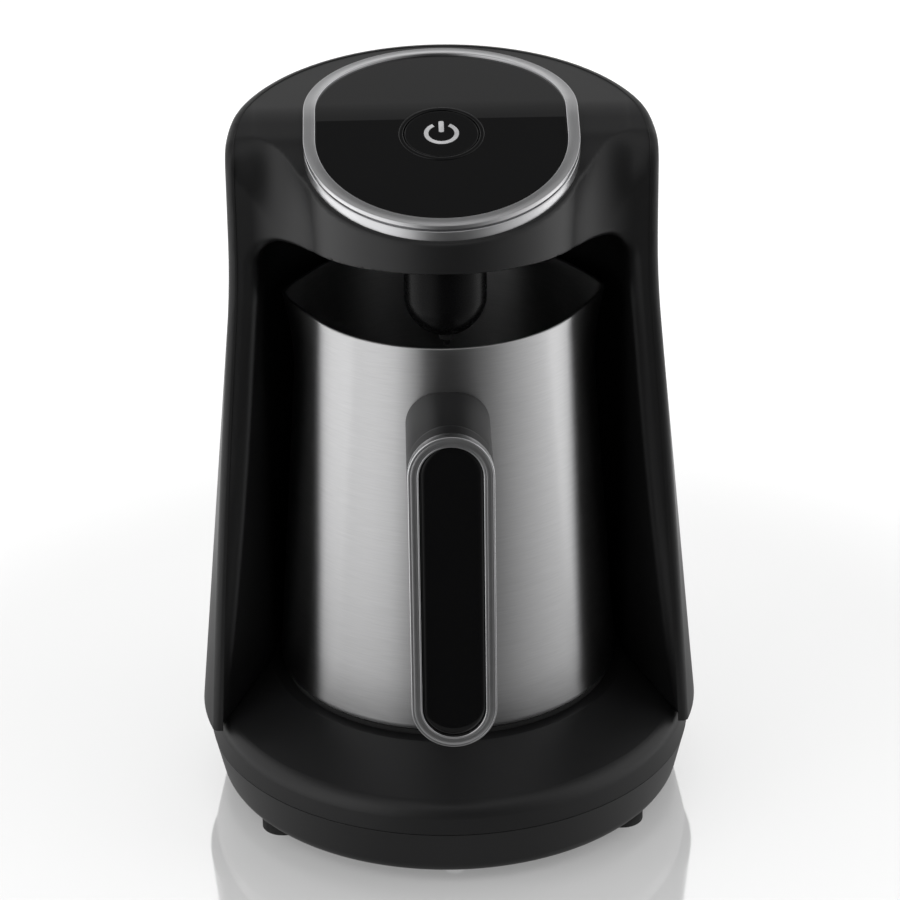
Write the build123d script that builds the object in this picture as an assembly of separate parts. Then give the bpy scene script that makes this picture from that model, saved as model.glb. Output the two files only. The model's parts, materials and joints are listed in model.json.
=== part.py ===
from build123d import *
from math import atan, cos, degrees, radians, sin, sqrt
import os

# Electric Turkish coffee maker: a round tower with a bay for the pot, a head that carries
# the control panel and the foam sensor, and a base with the hot plate.
# Millimetres, +Z up, front is -Y. The origin is on the table under the pot's axis.

# ---- Base ----
foot_height = 3.0          # rubber foot, table to the underside of the base
foot_radius = 6.0
foot_peg_radius = 2.6
foot_peg_length = 5.0
foot_edge = 1.3            # from a foot to the bottom edge of the base
foot_angle = 34.0          # front feet, degrees forward of the side
base_margin = 18.7         # from the bay to the base's rim at the seam of its two covers
base_bottom_step = 3.4     # the rim is this much narrower at the bottom
base_shoulder_step = 1.0   # and at the shoulder
base_seam_height = 17.6
base_shoulder_height = 25.6
base_shoulder_rounding = 5.0
base_bottom_rounding = 4.5
seat_height = 31.8         # top of the hot plate, where the pot stands
seat_margin = 2.2          # the level seat reaches this far past the pot
tower_axis_y = -7.6        # the round tower stands a little in front of the pot's axis
wall = 2.2                 # moulded walls
seam_gap = 0.2             # clearance between fixed covers

# ---- Tower ----
shell_wall = 2.4
shell_lap = 0.8            # the shell hangs this far over the base's shoulder
shell_overhang = 2.0       # and stands this far outside its rim
shell_top_step = 12.0      # the tower is this much narrower at the top
shell_knee_drop = 17.8     # the sides are upright from this far below the head's underside
shell_knee_rounding = 260.0
shell_edge_rounding = 1.8
wing_foot_y = -29.5        # front edge of the side walls, at the bottom
wing_top_y = -9.4          # and above the knee
wing_knee_drop = 9.8
wing_knee_rounding = 220.0
wing_roll = 8.0            # the top rolls over into the front faces
valley_rounding = 5.0      # between the head and the front faces

# ---- Top ----
crown_ridge_y = 7.6        # the two slopes of the top meet here
crown_rise = 25.5          # from the head's underside at the front to the ridge
crown_front_slope = 0.283  # rise over run
crown_back_slope = 0.088
crown_ridge_rounding = 45.0

# ---- Head ----
head_radius = 38.6
head_front_y = -4.7        # centre of the front arc
head_back_y = 9.2          # centre of the back arc
head_rim = 1.5             # head's wall outside the trim
head_top_step = 3.1        # the head's own wall ends this far under the panel level
head_clearance = 23.6      # from the pot's rim to the head's underside at the front
ceiling_slope = 0.108      # the underside falls towards the back
ceiling_rounding = 7.0

# ---- Bay for the pot ----
pot_clearance = 1.5        # bay to the pot at its foot
bay_top_widening = 0.2
bay_top_y = -6.0           # centre of the bay's back arc under the head
bay_bottom_flare = 0.52    # widening per millimetre towards the front
bay_top_flare = 0.30
bay_flare_rounding = 22.0

# ---- Control panel ----
panel_thickness = 2.0
panel_proud = 0.2
trim_width = 3.3
trim_proud = 0.9
trim_thickness = 1.1
trim_line = 0.6            # dark line between the two bright bands
trim_skirt_width = 1.2
pocket_depth = 5.0         # pocket in the head for the trim and the panel
carrier_ledge = 3.6
button_radius = 10.0
button_thickness = 3.0
button_proud = 0.35
button_travel = 0.8
button_clearance = 0.25
button_y = -2.8
stem_radius = 3.0
bezel_width = 1.3
bezel_proud = 0.45
bezel_seat_drop = 1.0      # the bezel reaches down to the sloping carrier
bezel_chamfer = 0.3
icon_radius = 4.7
icon_stroke = 1.2
icon_depth = 0.5
icon_gap_angle = 62.0
icon_bar_length = 4.8
icon_bar_width = 1.4
icon_bar_rounding = 0.5
icon_proud = 0.06

# ---- Foam sensor under the head ----
dome_radius = 10.4
dome_setback = 12.9        # from the front of the head
dome_drop = 11.6           # from the head's underside at the front to the dome's centre
dome_wall = 1.6
dome_flange = 2.6
dome_flange_thickness = 2.0
probe_radius = 1.0
probe_dip = 3.3            # the tip reaches this far below the rim's level
probe_tip_rounding = 0.8
collar_radius = 1.9
collar_length = 2.4

# ---- Pot ----
pot_bottom_radius = 47.8
pot_rim_radius = 39.9
pot_wall = 1.0
pot_height = 112.9         # underside to the front of the rim
pot_floor_thickness = 1.2
pot_bottom_rounding = 2.2
pot_rim_dip = 3.9          # the rim is this much lower at the back, under the probe
pot_rim_dip_start = -5.0
pot_foot_height = 1.5
pot_foot_inset = 1.3
pot_foot_width = 4.0
spout_reach = 4.4          # how far each pouring lip stands out of the rim
spout_tip_rounding = 3.0
spout_depth = 24.0         # height over which a lip fades into the wall
spout_tip_share = 1 / 6    # of the lip's angle, taken by its rounded tip

# ---- Pot handle ----
handle_width = 22.6
handle_top_drop = 7.6      # from the rim down to the top of the grip
handle_bottom_rise = 18.4  # from the seat up to the bottom of the grip
handle_reach = 37.0        # from the pot's wall to the front of the grip
handle_thickness = 12.0
handle_back_rounding = 4.5
handle_trim_width = 2.9
handle_trim_depth = 3.0
handle_trim_rounding = 0.9
handle_inlay_drop = 0.7    # the inlay lies this far under the trim's crest
handle_inlay_rounding = 0.8
handle_screw_radius = 1.6
handle_screw_head_radius = 3.0
handle_screw_head_height = 2.0
handle_screw_sink = 3.0
arm_top_drop = 4.6         # from the top of the grip to the top of the arm
arm_height = 30.0
arm_rounding = 9.5
arm_root = 4.0             # the arm ends this far behind the trim, inside the grip
arm_seat_gap = 0.3         # between the plastic arm and the steel wall
bracket_thickness = 2.0
bracket_width = 12.0
bracket_height = 16.0
stud_radius = 2.0
stud_drop = 15.0           # from the top of the arm to the stud

# ---- Heating ----
plate_inset = 9.8          # the plate is this much smaller than the pot
plate_thickness = 4.0
plate_post_radius = 3.0
plate_post_inset = 5.0
plate_post_count = 3
plate_seal_width = 1.4
element_inset = 13.0
element_radius = 3.0
element_gap_angle = 50.0
element_pin_length = 9.0
element_pin_radius = 1.5
shield_gap = 2.5           # round the plate
shield_rise = 1.0          # its floor stands this far over the base's seam
shield_thickness = 0.8
shield_flange = 3.0
thermistor_radius = 5.0
thermistor_height = 3.6
clip_length = 26.0
clip_width = 7.0
clip_thickness = 0.8
fuse_radius = 2.4
fuse_length = 16.0
fuse_y = -14.0

# ---- Electrics in the base ----
board_length = 70.0
board_width = 44.0
board_thickness = 1.6
board_lift = 2.4
board_y = -12.0
relay_size = (19.0, 15.5, 8.0)
transformer_size = (22.0, 20.0, 8.0)
capacitor_radius = 4.0
capacitor_length = 15.0
relay_place = (-20.0, 8.0)
transformer_place = (6.0, -4.0)
capacitor_place = (-20.0, -10.0)
terminal_place = (20.0, 14.0)
board_boss_radius = 2.6
board_screw_radius = 1.0
board_screw_head = 1.4
terminal_size = (20.0, 9.0, 8.0)
grommet_bore_radius = 3.2
grommet_radius = 5.2
grommet_flange_radius = 6.6
grommet_flange_thickness = 1.6
grommet_depth = 9.0
grommet_height = 9.8
grommet_pad_radius = 7.2
grommet_pad_inset = 2.6    # flat face of the pad, inside the rim of the base
clamp_size = (24.0, 6.0, 2.4)
clamp_inset = 13.8         # from that face to the clamp
clamp_post_radius = 2.4
clamp_post_x = 9.0
vent_count = 7
vent_length = 26.0
vent_width = 2.4
vent_pitch = 6.0
boss_radius = 3.6
boss_edge = 15.0           # from the rim to the middle of a screw boss
boss_side_angle = 25.0      # the two back screw bosses, degrees behind the side
screw_shank_radius = 1.4
screw_head_radius = 2.8
screw_head_height = 1.8
screw_recess = 1.2
screw_clearance = 0.15

# ---- Electrics in the head ----
control_length = 44.0
control_width = 30.0
control_thickness = 1.6
control_post_radius = 2.4
switch_size = (6.0, 6.0, 3.2)
switch_button_radius = 1.7
switch_button_length = 0.6
led_radius = 1.5
led_height = 2.2
led_x = 7.5
buzzer_radius = 4.5
buzzer_height = 3.4
buzzer_x = 15.0
control_drop = 5.5         # carrier to board
control_post_x = 18.0
control_post_y = 11.0
guide_radius = 2.2
guide_clearance = 0.3
cable_width = 8.0
cable_thickness = 1.2
cable_low_inset = 11.0     # from the base's rim, at the low end
cable_low_y = 1.0
cable_low_rise = 2.4       # over the base's seam
cable_high_inset = 4.4     # from the tower's upright side, at the high end
cable_high_y = -3.0
cable_high_drop = 1.8      # under the head's underside
cable_hole = (5.0, 11.0)

# ---- Derived places ----
base_floor_top = foot_height + wall
bay_bottom_radius = pot_bottom_radius + pot_clearance
bay_top_radius = bay_bottom_radius + bay_top_widening
base_radius = bay_bottom_radius + base_margin
base_bottom_radius = base_radius - base_bottom_step
base_shoulder_radius = base_radius - base_shoulder_step
foot_circle = base_bottom_radius - foot_edge - foot_radius
boss_circle = base_radius - boss_edge
seat_radius = pot_bottom_radius + seat_margin
pot_bottom = seat_height + pot_foot_height
pot_rim_height = pot_bottom + pot_height
ceiling_front_height = pot_rim_height + head_clearance  # underside of the head at its front wall
ceiling_front_y = head_front_y - head_radius
crown_ridge_height = ceiling_front_height + crown_rise
wing_knee_height = ceiling_front_height - wing_knee_drop
shell_bottom = base_shoulder_height - shell_lap
shell_bottom_radius = base_radius + shell_overhang
shell_top_radius = shell_bottom_radius - shell_top_step
shell_knee_height = ceiling_front_height - shell_knee_drop
trim_radius = head_radius - head_rim
panel_radius = trim_radius - trim_width - seam_gap
dome_y = ceiling_front_y + dome_setback
dome_centre_height = ceiling_front_height - dome_drop
probe_tip_height = pot_rim_height - probe_dip
handle_top_height = pot_rim_height - handle_top_drop
handle_bottom_height = seat_height + handle_bottom_rise
arm_top_height = handle_top_height - arm_top_drop
stud_height = arm_top_height - stud_drop
plate_radius = pot_bottom_radius - plate_inset
plate_post_circle = plate_radius - plate_post_inset
element_circle = plate_radius - element_inset
plate_underside = seat_height - plate_thickness
shield_radius = plate_radius + shield_gap
shield_floor_height = base_seam_height + shield_rise
grommet_face_y = tower_axis_y + base_radius - grommet_pad_inset
clamp_y = grommet_face_y - clamp_inset
cable_low = (cable_low_inset - base_radius, cable_low_y, base_seam_height + cable_low_rise)
cable_high = (cable_high_inset - shell_top_radius, cable_high_y, ceiling_front_height - cable_high_drop)
bezel_inner = button_radius + button_clearance
bezel_outer = bezel_inner + bezel_width
far = 4 * base_radius      # larger than the whole machine
sky = crown_ridge_height + shell_bottom_radius
touch = 0.05               # hairline between pieces that are pressed or welded together
hair = 0.1                 # looser hairline between a part and the part that wraps it
near = 1.0                 # reach for picking an edge by its place
front_angle = 270.0        # the -Y direction, in degrees about the upright axis
boss_angles = (boss_side_angle, 180 - boss_side_angle, front_angle)
ledge_drop = pocket_depth + carrier_ledge  # top surface to the underside of the pocket's ledge


# ---- Small helpers ----
def disc(radius, height):
    """Cylinder that stands on the XY plane."""
    return Cylinder(radius, height, align=(Align.CENTER, Align.CENTER, Align.MIN))


def ring(outer, inner, height):
    return disc(outer, height) - disc(inner, height)


def block(length, width, height):
    """Box centred in X and Y that stands on the XY plane."""
    return Box(length, width, height, align=(Align.CENTER, Align.CENTER, Align.MIN))


def group(pieces):
    """Separate solids that share one node."""
    return Compound([solid for piece in pieces for solid in piece.solids()])


def turned(points, axis_y=0.0):
    """Solid of revolution of an (r, z) outline about the upright line x = 0, y = axis_y."""
    outline = Polyline(*[(r, 0, z) for r, z in points], close=True)
    return Pos(0, axis_y, 0) * revolve(make_face(outline), axis=Axis.Z)


def side_prism(edges):
    """Prism across the whole machine from a closed outline in the YZ plane."""
    face = Pos(-far, 0, 0) * make_face(edges)
    return extrude(face, amount=2 * far, dir=(1, 0, 0))


def side_polygon(points):
    return side_prism(Polyline(*[(0, y, z) for y, z in points], close=True))


def stadium(radius, low, high):
    """Upright prism with the head's plan: two arcs joined by straight sides."""
    length = head_back_y - head_front_y
    slot = SlotCenterToCenter(length, 2 * radius, rotation=90)
    return Pos(0, (head_back_y + head_front_y) / 2, low) * extrude(slot, amount=high - low)


def above(height):
    return Pos(0, 0, height) * block(2 * far, 2 * far, far)


def below(height, width=2 * far):
    """Everything under a height, or a band of it of that width in X."""
    return Pos(0, 0, height) * Box(width, 2 * far, far, align=(Align.CENTER, Align.CENTER, Align.MAX))


def on_circle(radius, angle, centre_y=tower_axis_y):
    """Point at an angle on a circle about the tower's axis."""
    return (radius * cos(radians(angle)), centre_y + radius * sin(radians(angle)))


# ---- Surfaces that several pieces share ----
def crown_height(y, lift=0.0):
    """Height of the top surface at y, moved out by lift along its normal."""
    slope = crown_front_slope if y < crown_ridge_y else crown_back_slope
    return crown_ridge_height + slope * (y - crown_ridge_y) + lift * sqrt(1 + slope**2)


def under_crown(lift=0.0):
    """Everything under the top surface moved out by lift."""
    front, back = crown_front_slope, crown_back_slope
    shift = lift * (sqrt(1 + back**2) - sqrt(1 + front**2)) / (front - back)
    ridge_y = crown_ridge_y + shift
    ridge_z = crown_ridge_height + front * shift + lift * sqrt(1 + front**2)
    outline = [
        (-far, -far),
        (-far, crown_height(-far, lift)),
        (ridge_y, ridge_z),
        (far, crown_height(far, lift)),
        (far, -far),
    ]
    prism = side_polygon(outline)
    ridge = [e for e in prism.edges().filter_by(Axis.X) if abs(e.center().Y - ridge_y) < near]
    return fillet(ridge, crown_ridge_rounding + lift)


def crown_slab(low, high):
    """Layer that follows the top surface between two lifts."""
    return under_crown(high) - under_crown(low)


def ceiling_height(y):
    return ceiling_front_height - ceiling_slope * (y - ceiling_front_y)


def under_ceiling(lift=0.0):
    """Everything below the head's underside moved up by lift."""
    ends = [(y, ceiling_height(y) + lift) for y in (-far, far)]
    return side_polygon([(-far, -far), *ends, (far, -far)])


def tower(inset=0.0):
    """Round tower, its wall moved in by inset."""
    slope = (shell_bottom_radius - shell_top_radius) / (shell_knee_height - shell_bottom)
    table_radius = shell_bottom_radius + slope * shell_bottom - inset
    top_radius = shell_top_radius - inset
    corners = [(table_radius, 0, 0), (top_radius, 0, shell_knee_height), (top_radius, 0, sky)]
    side = FilletPolyline(*corners, radius=shell_knee_rounding)
    rest = Polyline((top_radius, 0, sky), (0, 0, sky), (0, 0, 0), (table_radius, 0, 0))
    return Pos(0, tower_axis_y, 0) * revolve(make_face(side.edges() + rest.edges()), axis=Axis.Z)


def behind_wings(inset=0.0):
    """Everything behind the front faces of the side walls, moved back by inset."""
    slope = (wing_top_y - wing_foot_y) / (wing_knee_height - shell_bottom)
    low_y = wing_foot_y - slope * shell_bottom + inset
    top_y = wing_top_y + inset
    corners = [(0, low_y, 0), (0, top_y, wing_knee_height), (0, top_y, sky)]
    front = FilletPolyline(*corners, radius=wing_knee_rounding)
    rest = Polyline((0, top_y, sky), (0, far, sky), (0, far, 0), (0, low_y, 0))
    return side_prism(front.edges() + rest.edges())


def bay_section(height, grow):
    """Plan of the bay at one height: a back arc that flares into straight sides."""
    share = (height - seat_height) / (ceiling_front_height - seat_height)
    radius = bay_bottom_radius + share * (bay_top_radius - bay_bottom_radius) + grow
    centre = share * bay_top_y
    flare = bay_bottom_flare + share * (bay_top_flare - bay_bottom_flare)
    front = -2 * base_radius
    reach = radius + flare * (centre - front)
    outline = Polyline((-radius, centre), (-reach, front), (reach, front), (radius, centre))
    back = ThreePointArc((radius, centre), (0, centre + radius), (-radius, centre))
    face = make_face(outline.edges() + back.edges())
    corners = [v for v in face.vertices() if abs(v.Y - centre) < near]
    return Pos(0, 0, height) * fillet(corners, bay_flare_rounding)


def bay_arch(grow):
    """Everything under the sloped ceiling, whose two front-to-back corners are rounded."""
    half = bay_top_radius + bay_top_flare * (bay_top_y - wing_top_y) + grow
    rounding = ceiling_rounding + grow
    vault = below(0, 2 * half)
    vault = fillet([e for e in vault.edges().filter_by(Axis.Y) if e.center().Z > -near], rounding)
    arch = vault + below(-rounding)
    tilt = Rot(-degrees(atan(ceiling_slope)), 0, 0)
    return Pos(0, ceiling_front_y, ceiling_front_height) * tilt * Pos(0, 0, grow) * arch


def bay(grow=0.0):
    """The space for the pot; grow moves its walls and ceiling out."""
    low = seat_height - 3 * wall
    high = ceiling_front_height + 3 * wall
    return loft([bay_section(low, grow), bay_section(high, grow)], ruled=True) & bay_arch(grow)


def base_form(inset=0.0):
    """The upper half of the base: an upright rim and a slope that rises to the seat."""
    shoulder = base_shoulder_height - inset
    rim = base_radius - inset
    lip = base_shoulder_radius - inset
    outline = [(0, base_seam_height), (rim, base_seam_height), (lip, shoulder), (0, shoulder)]
    drum = turned(outline, tower_axis_y)
    foot = Pos(0, tower_axis_y, shoulder) * Circle(lip)
    seat = Pos(0, 0, seat_height - inset) * Circle(seat_radius - inset)
    form = drum + loft([foot.face(), seat.face()])
    edge = [e for e in form.edges() if abs(e.center().Z - shoulder) < hair and e.length > base_radius]
    return fillet(edge, max(base_shoulder_rounding - inset, wall))


# ---- Tower covers ----
def tower_form():
    """Outside of the tower with its rounded edges, before the head and the bay."""
    form = tower() & behind_wings() & under_crown() & above(shell_bottom)
    brow = [e for e in form.edges() if abs(e.center().Y - wing_top_y) < near and abs(e.center().X) < near]
    form = fillet(max(brow, key=lambda e: e.center().Z), wing_roll)

    def on_top(edge):
        near_crown = abs(edge.center().Z - crown_height(edge.center().Y)) < wing_roll / 2
        return near_crown and edge.geom_type != GeomType.LINE and edge.center().Y > wing_top_y + near

    def on_wing(edge):
        middle = edge.center()
        beside_head = abs(middle.X) > head_radius and middle.Y < wing_top_y + shell_wall
        return beside_head and middle.Z > shell_bottom + near

    rounded = [e for e in form.edges() if on_top(e) or on_wing(e)]
    return fillet(rounded, shell_edge_rounding)


def valley_webs(low, high):
    """Concave corners that lead the head's round wall into the front faces."""
    centre_y = wing_top_y - valley_rounding
    centre_x = sqrt((head_radius + valley_rounding) ** 2 - (centre_y - head_front_y) ** 2)
    share = head_radius / (head_radius + valley_rounding)
    contact = (centre_x * share, head_front_y + (centre_y - head_front_y) * share)
    root_y = wing_top_y + wall / 2
    corners = [
        (contact[0] - valley_rounding, root_y),
        (centre_x, root_y),
        (centre_x, centre_y),
        contact,
        (contact[0] - valley_rounding, contact[1]),
    ]
    face = make_face(Polyline(*corners, close=True)) - Pos(centre_x, centre_y) * Circle(valley_rounding)
    web = Pos(0, 0, low) * extrude(face, amount=high - low)
    return [web, mirror(web, about=Plane.YZ)]


def make_outer_shell(form):
    """Back and side skin; its rounded top edge stands round the casing's top."""
    return form - tower(shell_wall)


def head_hollow(low):
    """Room inside the head and the top, which the moulded walls enclose."""
    top = behind_wings(wall) & under_crown(-wall)
    brow = [e for e in top.edges().filter_by(Axis.X) if abs(e.center().Y - wing_top_y - wall) < near]
    top = fillet(max(brow, key=lambda e: e.center().Z), wing_roll - wall)
    inner = stadium(head_radius - wall, low, sky) & under_crown(-ledge_drop)
    return top - stadium(head_radius, low, sky) + inner - bay(wall)


def make_front_casing(form):
    """Top, head wall, front faces and the lining of the bay, as one thin moulding."""
    low = ceiling_height(far / 4)
    head = stadium(head_radius, low, sky) & under_crown(-head_top_step)
    roll_height = crown_height(wing_top_y) - wing_roll
    shell_zone = tower() - tower(shell_wall + seam_gap)
    casing = form + head + valley_webs(low, roll_height) - shell_zone
    casing = casing - bay() - base_form(-seam_gap)
    casing = casing & above(base_shoulder_height + seam_gap)
    return casing - head_hollow(low)


def panel_place():
    """Frame on the front slope of the panel, at the button, its Z along the button's travel."""
    tilt = atan(crown_front_slope)
    origin = (0, button_y, crown_height(button_y))
    return Plane(origin=origin, x_dir=(1, 0, 0), z_dir=(0, -sin(tilt), cos(tilt)))


def cut_for_panel(casing):
    """Pocket for the trim and the panel, opening under it, and the sensor's hole."""
    pocket = stadium(trim_radius + seam_gap, 0, sky) - under_crown(-pocket_depth)
    opening = stadium(panel_radius - carrier_ledge, ceiling_front_height, sky)
    sensor_hole = Pos(0, dome_y) * disc(dome_radius + hair, sky)
    sensor_hole = sensor_hole & under_ceiling(2 * wall)
    return casing - pocket - opening - sensor_hole


# ---- Base ----
def make_base_cover():
    gap = seam_gap / 2
    cover = base_form() & above(base_seam_height + gap)
    cover = cover - base_form(wall)
    hole = plate_radius + plate_seal_width
    cover = cover - Pos(0, 0, base_seam_height) * disc(hole, far)
    for angle in boss_angles:
        place = Pos(*on_circle(boss_circle, angle), base_floor_top + gap)
        cover = cover + (place * disc(boss_radius, far) & base_form(wall / 2))
        cover = cover + place * disc(boss_radius, base_seam_height - base_floor_top)
    for angle in boss_angles:
        x, y = on_circle(boss_circle, angle)
        depth = base_shoulder_height - wall - foot_height
        cover = cover - Pos(x, y, 0) * disc(screw_shank_radius + screw_clearance, depth)
    x, y, _ = cable_low
    return cover - Pos(x, y, base_seam_height) * block(*cable_hole, far)


def bottom_outline(inset, top):
    """Closed (r, z) outline of the bottom cover moved in by inset."""
    slope = (base_radius - base_bottom_radius) / (base_seam_height - foot_height)
    low_radius = base_bottom_radius - inset + slope * inset
    high_radius = base_radius - inset + slope * (top - base_seam_height)
    return [(0, foot_height + inset), (low_radius, foot_height + inset), (high_radius, top), (0, top)]


def make_bottom_cover():
    top = base_seam_height - seam_gap / 2
    cover = turned(bottom_outline(0, top), tower_axis_y)
    rim = max((e for e in cover.edges() if e.center().Z < foot_height + near), key=lambda e: e.length)
    cover = fillet(rim, base_bottom_rounding)
    for x, y in foot_places():
        cover = cover + Pos(x, y, foot_height) * disc(foot_radius + hair, foot_peg_length)
    pad = Plane(origin=(0, 0, grommet_height), z_dir=(0, 1, 0)) * disc(grommet_pad_radius, grommet_face_y)
    cover = cover + (pad & above(foot_height) & below(top))
    cover = cover - turned(bottom_outline(wall, base_seam_height + wall), tower_axis_y)
    boss_height = foot_peg_length - wall
    for x, y in foot_places():
        cover = cover + Pos(x, y, base_floor_top) * disc(foot_radius - wall, boss_height)
        cover = cover - Pos(x, y, 0) * disc(foot_peg_radius + hair, far)
    depth = grommet_depth - grommet_flange_thickness
    wall_block = Plane(origin=(0, grommet_face_y - depth, grommet_height), z_dir=(0, 1, 0))
    cover = cover + (wall_block * disc(grommet_radius + wall, depth) & above(foot_height))
    cover = cover - wall_block * disc(grommet_radius + hair, far)
    cover = cover - wall_block * Pos(0, 0, depth) * disc(grommet_flange_radius + hair, far)
    for angle in boss_angles:
        x, y = on_circle(boss_circle, angle)
        cover = cover - Pos(x, y, 0) * disc(screw_shank_radius + screw_clearance, far)
        cover = cover - Pos(x, y, 0) * disc(screw_head_radius + hair, foot_height + screw_recess)
    for x, y in board_corners():
        cover = cover + Pos(x, y, base_floor_top) * disc(board_boss_radius, board_lift)
    for side in (-1, 1):
        height = clamp_height() - base_floor_top
        cover = cover + Pos(side * clamp_post_x, clamp_y, base_floor_top) * disc(clamp_post_radius, height)
    for index in range(vent_count):
        x = (index - (vent_count - 1) / 2) * vent_pitch
        slot = extrude(SlotOverall(vent_length, vent_width, rotation=90), amount=2 * wall)
        cover = cover - Pos(x, board_y, foot_height - wall / 2) * slot
    return cover


def clamp_height():
    return grommet_height + grommet_bore_radius


def foot_places():
    angles = (foot_angle, 180 - foot_angle, 180 + foot_angle, 360 - foot_angle)
    return [on_circle(foot_circle, angle) for angle in angles]


def board_corners():
    x, y = board_length / 2 - board_boss_radius, board_width / 2 - board_boss_radius
    return [(sx * x, board_y + sy * y) for sx in (-1, 1) for sy in (-1, 1)]


def make_rubber_feet():
    foot = disc(foot_radius, foot_height)
    foot = foot + disc(foot_peg_radius, foot_height + foot_peg_length)
    return group([Pos(x, y, 0) * foot for x, y in foot_places()])


def screw(head_radius, head_height, shank_radius, length):
    """Screw that points up, its head's underside at z = 0."""
    return Pos(0, 0, -head_height) * disc(head_radius, head_height) + disc(shank_radius, length)


def make_base_screws():
    length = base_shoulder_height - base_floor_top - 2 * wall
    piece = screw(screw_head_radius, screw_head_height, screw_shank_radius, length)
    height = foot_height + screw_recess
    return group([Pos(*on_circle(boss_circle, angle), height) * piece for angle in boss_angles])


def make_cord_grommet():
    """Rubber bush in the back of the base; the bore is where the mains lead passes."""
    place = Plane(origin=(0, grommet_face_y, grommet_height), z_dir=(0, 1, 0))
    neck = grommet_depth - grommet_flange_thickness
    body = disc(grommet_flange_radius, grommet_flange_thickness)
    body = body + Pos(0, 0, -neck) * disc(grommet_radius, neck)
    bore = Pos(0, 0, -grommet_depth) * disc(grommet_bore_radius, 3 * grommet_depth)
    return place * (body - bore)


def make_cord_clamp():
    return Pos(0, clamp_y, clamp_height()) * block(*clamp_size)


# ---- Heating ----
def plate_posts(radius, low, high):
    step = 360 / plate_post_count
    angles = [front_angle + step / 2 + index * step for index in range(plate_post_count)]
    return [Pos(*on_circle(plate_post_circle, angle, 0), low) * disc(radius, high - low) for angle in angles]


def make_heating_plate():
    plate = Pos(0, 0, plate_underside) * disc(plate_radius, plate_thickness)
    return plate + plate_posts(plate_post_radius, shield_floor_height, plate_underside)


def make_plate_seal():
    height = wall + touch
    seal = ring(plate_radius + plate_seal_width - touch, plate_radius + touch, height)
    return Pos(0, 0, seat_height - height) * seal


def make_heating_element():
    """Tubular element bent to an open ring, its opening at the front."""
    height = plate_underside - element_radius - touch
    first = front_angle + element_gap_angle / 2
    start = Plane(origin=(*on_circle(element_circle, first, 0), height), z_dir=tangent_at(first))
    path = CenterArc((0, 0, height), element_circle, first, 360 - element_gap_angle)
    return sweep(start * Circle(element_radius), path=path)


def tangent_at(angle):
    return (-sin(radians(angle)), cos(radians(angle)), 0)


def make_element_pins():
    """Terminal pins that cap the two ends of the element."""
    height = plate_underside - element_radius - touch
    half_gap = element_gap_angle / 2
    pins = []
    for angle, way in ((front_angle + half_gap, -1), (front_angle - half_gap, 1)):
        direction = [way * part for part in tangent_at(angle)]
        start = Plane(origin=(*on_circle(element_circle, angle, 0), height), z_dir=direction)
        pins.append(start * disc(element_pin_radius, element_pin_length))
    return group(pins)


def make_heat_shield():
    floor = shield_floor_height
    inner, outer = shield_radius - shield_thickness, shield_radius
    rim = outer + shield_flange
    ceiling = seat_height - wall
    lip = ceiling - shield_thickness
    outline = [
        (0, floor - shield_thickness),
        (outer, floor - shield_thickness),
        (outer, lip),
        (rim, lip),
        (rim, ceiling),
        (inner, ceiling),
        (inner, floor),
        (0, floor),
    ]
    return turned(outline)


def make_thermistor():
    return Pos(0, 0, plate_underside - thermistor_height) * disc(thermistor_radius, thermistor_height)


def make_thermistor_clip():
    """Sprung strap that holds the thermistor up against the plate."""
    drop = thermistor_height + clip_thickness
    strap = Pos(0, 0, plate_underside - drop) * block(clip_length, clip_width, clip_thickness)
    leg = block(clip_thickness, clip_width, drop)
    legs = [Pos(s * (clip_length - clip_thickness) / 2, 0, plate_underside - drop) * leg for s in (-1, 1)]
    return strap + legs


def make_thermal_fuse():
    height = plate_underside - fuse_radius - touch
    return Plane(origin=(-fuse_length / 2, fuse_y, height), z_dir=(1, 0, 0)) * disc(fuse_radius, fuse_length)


# ---- Power board ----
def board_top():
    return base_floor_top + board_lift + board_thickness


def make_power_board():
    board = Pos(0, board_y, base_floor_top + board_lift) * block(board_length, board_width, board_thickness)
    for x, y in board_corners():
        board = board - Pos(x, y, 0) * disc(board_screw_radius + screw_clearance, far)
    return board


def make_board_screws():
    piece = screw(board_boss_radius - hair, board_screw_head, board_screw_radius, board_thickness)
    return group([Pos(x, y, board_top()) * Rot(180, 0, 0) * piece for x, y in board_corners()])


def on_board(x, y, shape):
    return Pos(x, board_y + y, board_top()) * shape


def make_capacitor():
    end = Plane(origin=(-capacitor_length / 2, 0, capacitor_radius), z_dir=(1, 0, 0))
    return on_board(*capacitor_place, end * disc(capacitor_radius, capacitor_length))


# ---- Head ----
def make_trim_ring():
    """Bright band round the panel, with a leg that reaches down inside the skirt."""
    inner = panel_radius + seam_gap
    band = stadium(trim_radius, 0, sky) - stadium(inner, 0, sky)
    leg = stadium(trim_radius - trim_skirt_width - hair, 0, sky) - stadium(inner, 0, sky)
    top = band & crown_slab(trim_proud - trim_thickness, trim_proud)
    return top + (leg & crown_slab(-pocket_depth, trim_proud - trim_thickness / 2))


def make_trim_skirt():
    """Second bright band, which shows under the first round the front of the head."""
    band = stadium(trim_radius, 0, sky) - stadium(trim_radius - trim_skirt_width, 0, sky)
    return band & crown_slab(-pocket_depth, trim_proud - trim_thickness - trim_line)


def make_top_panel():
    panel = stadium(panel_radius, 0, sky) & crown_slab(panel_proud - panel_thickness, panel_proud)
    return panel - panel_place() * Pos(0, 0, -far / 2) * disc(bezel_outer + touch, far)


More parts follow.
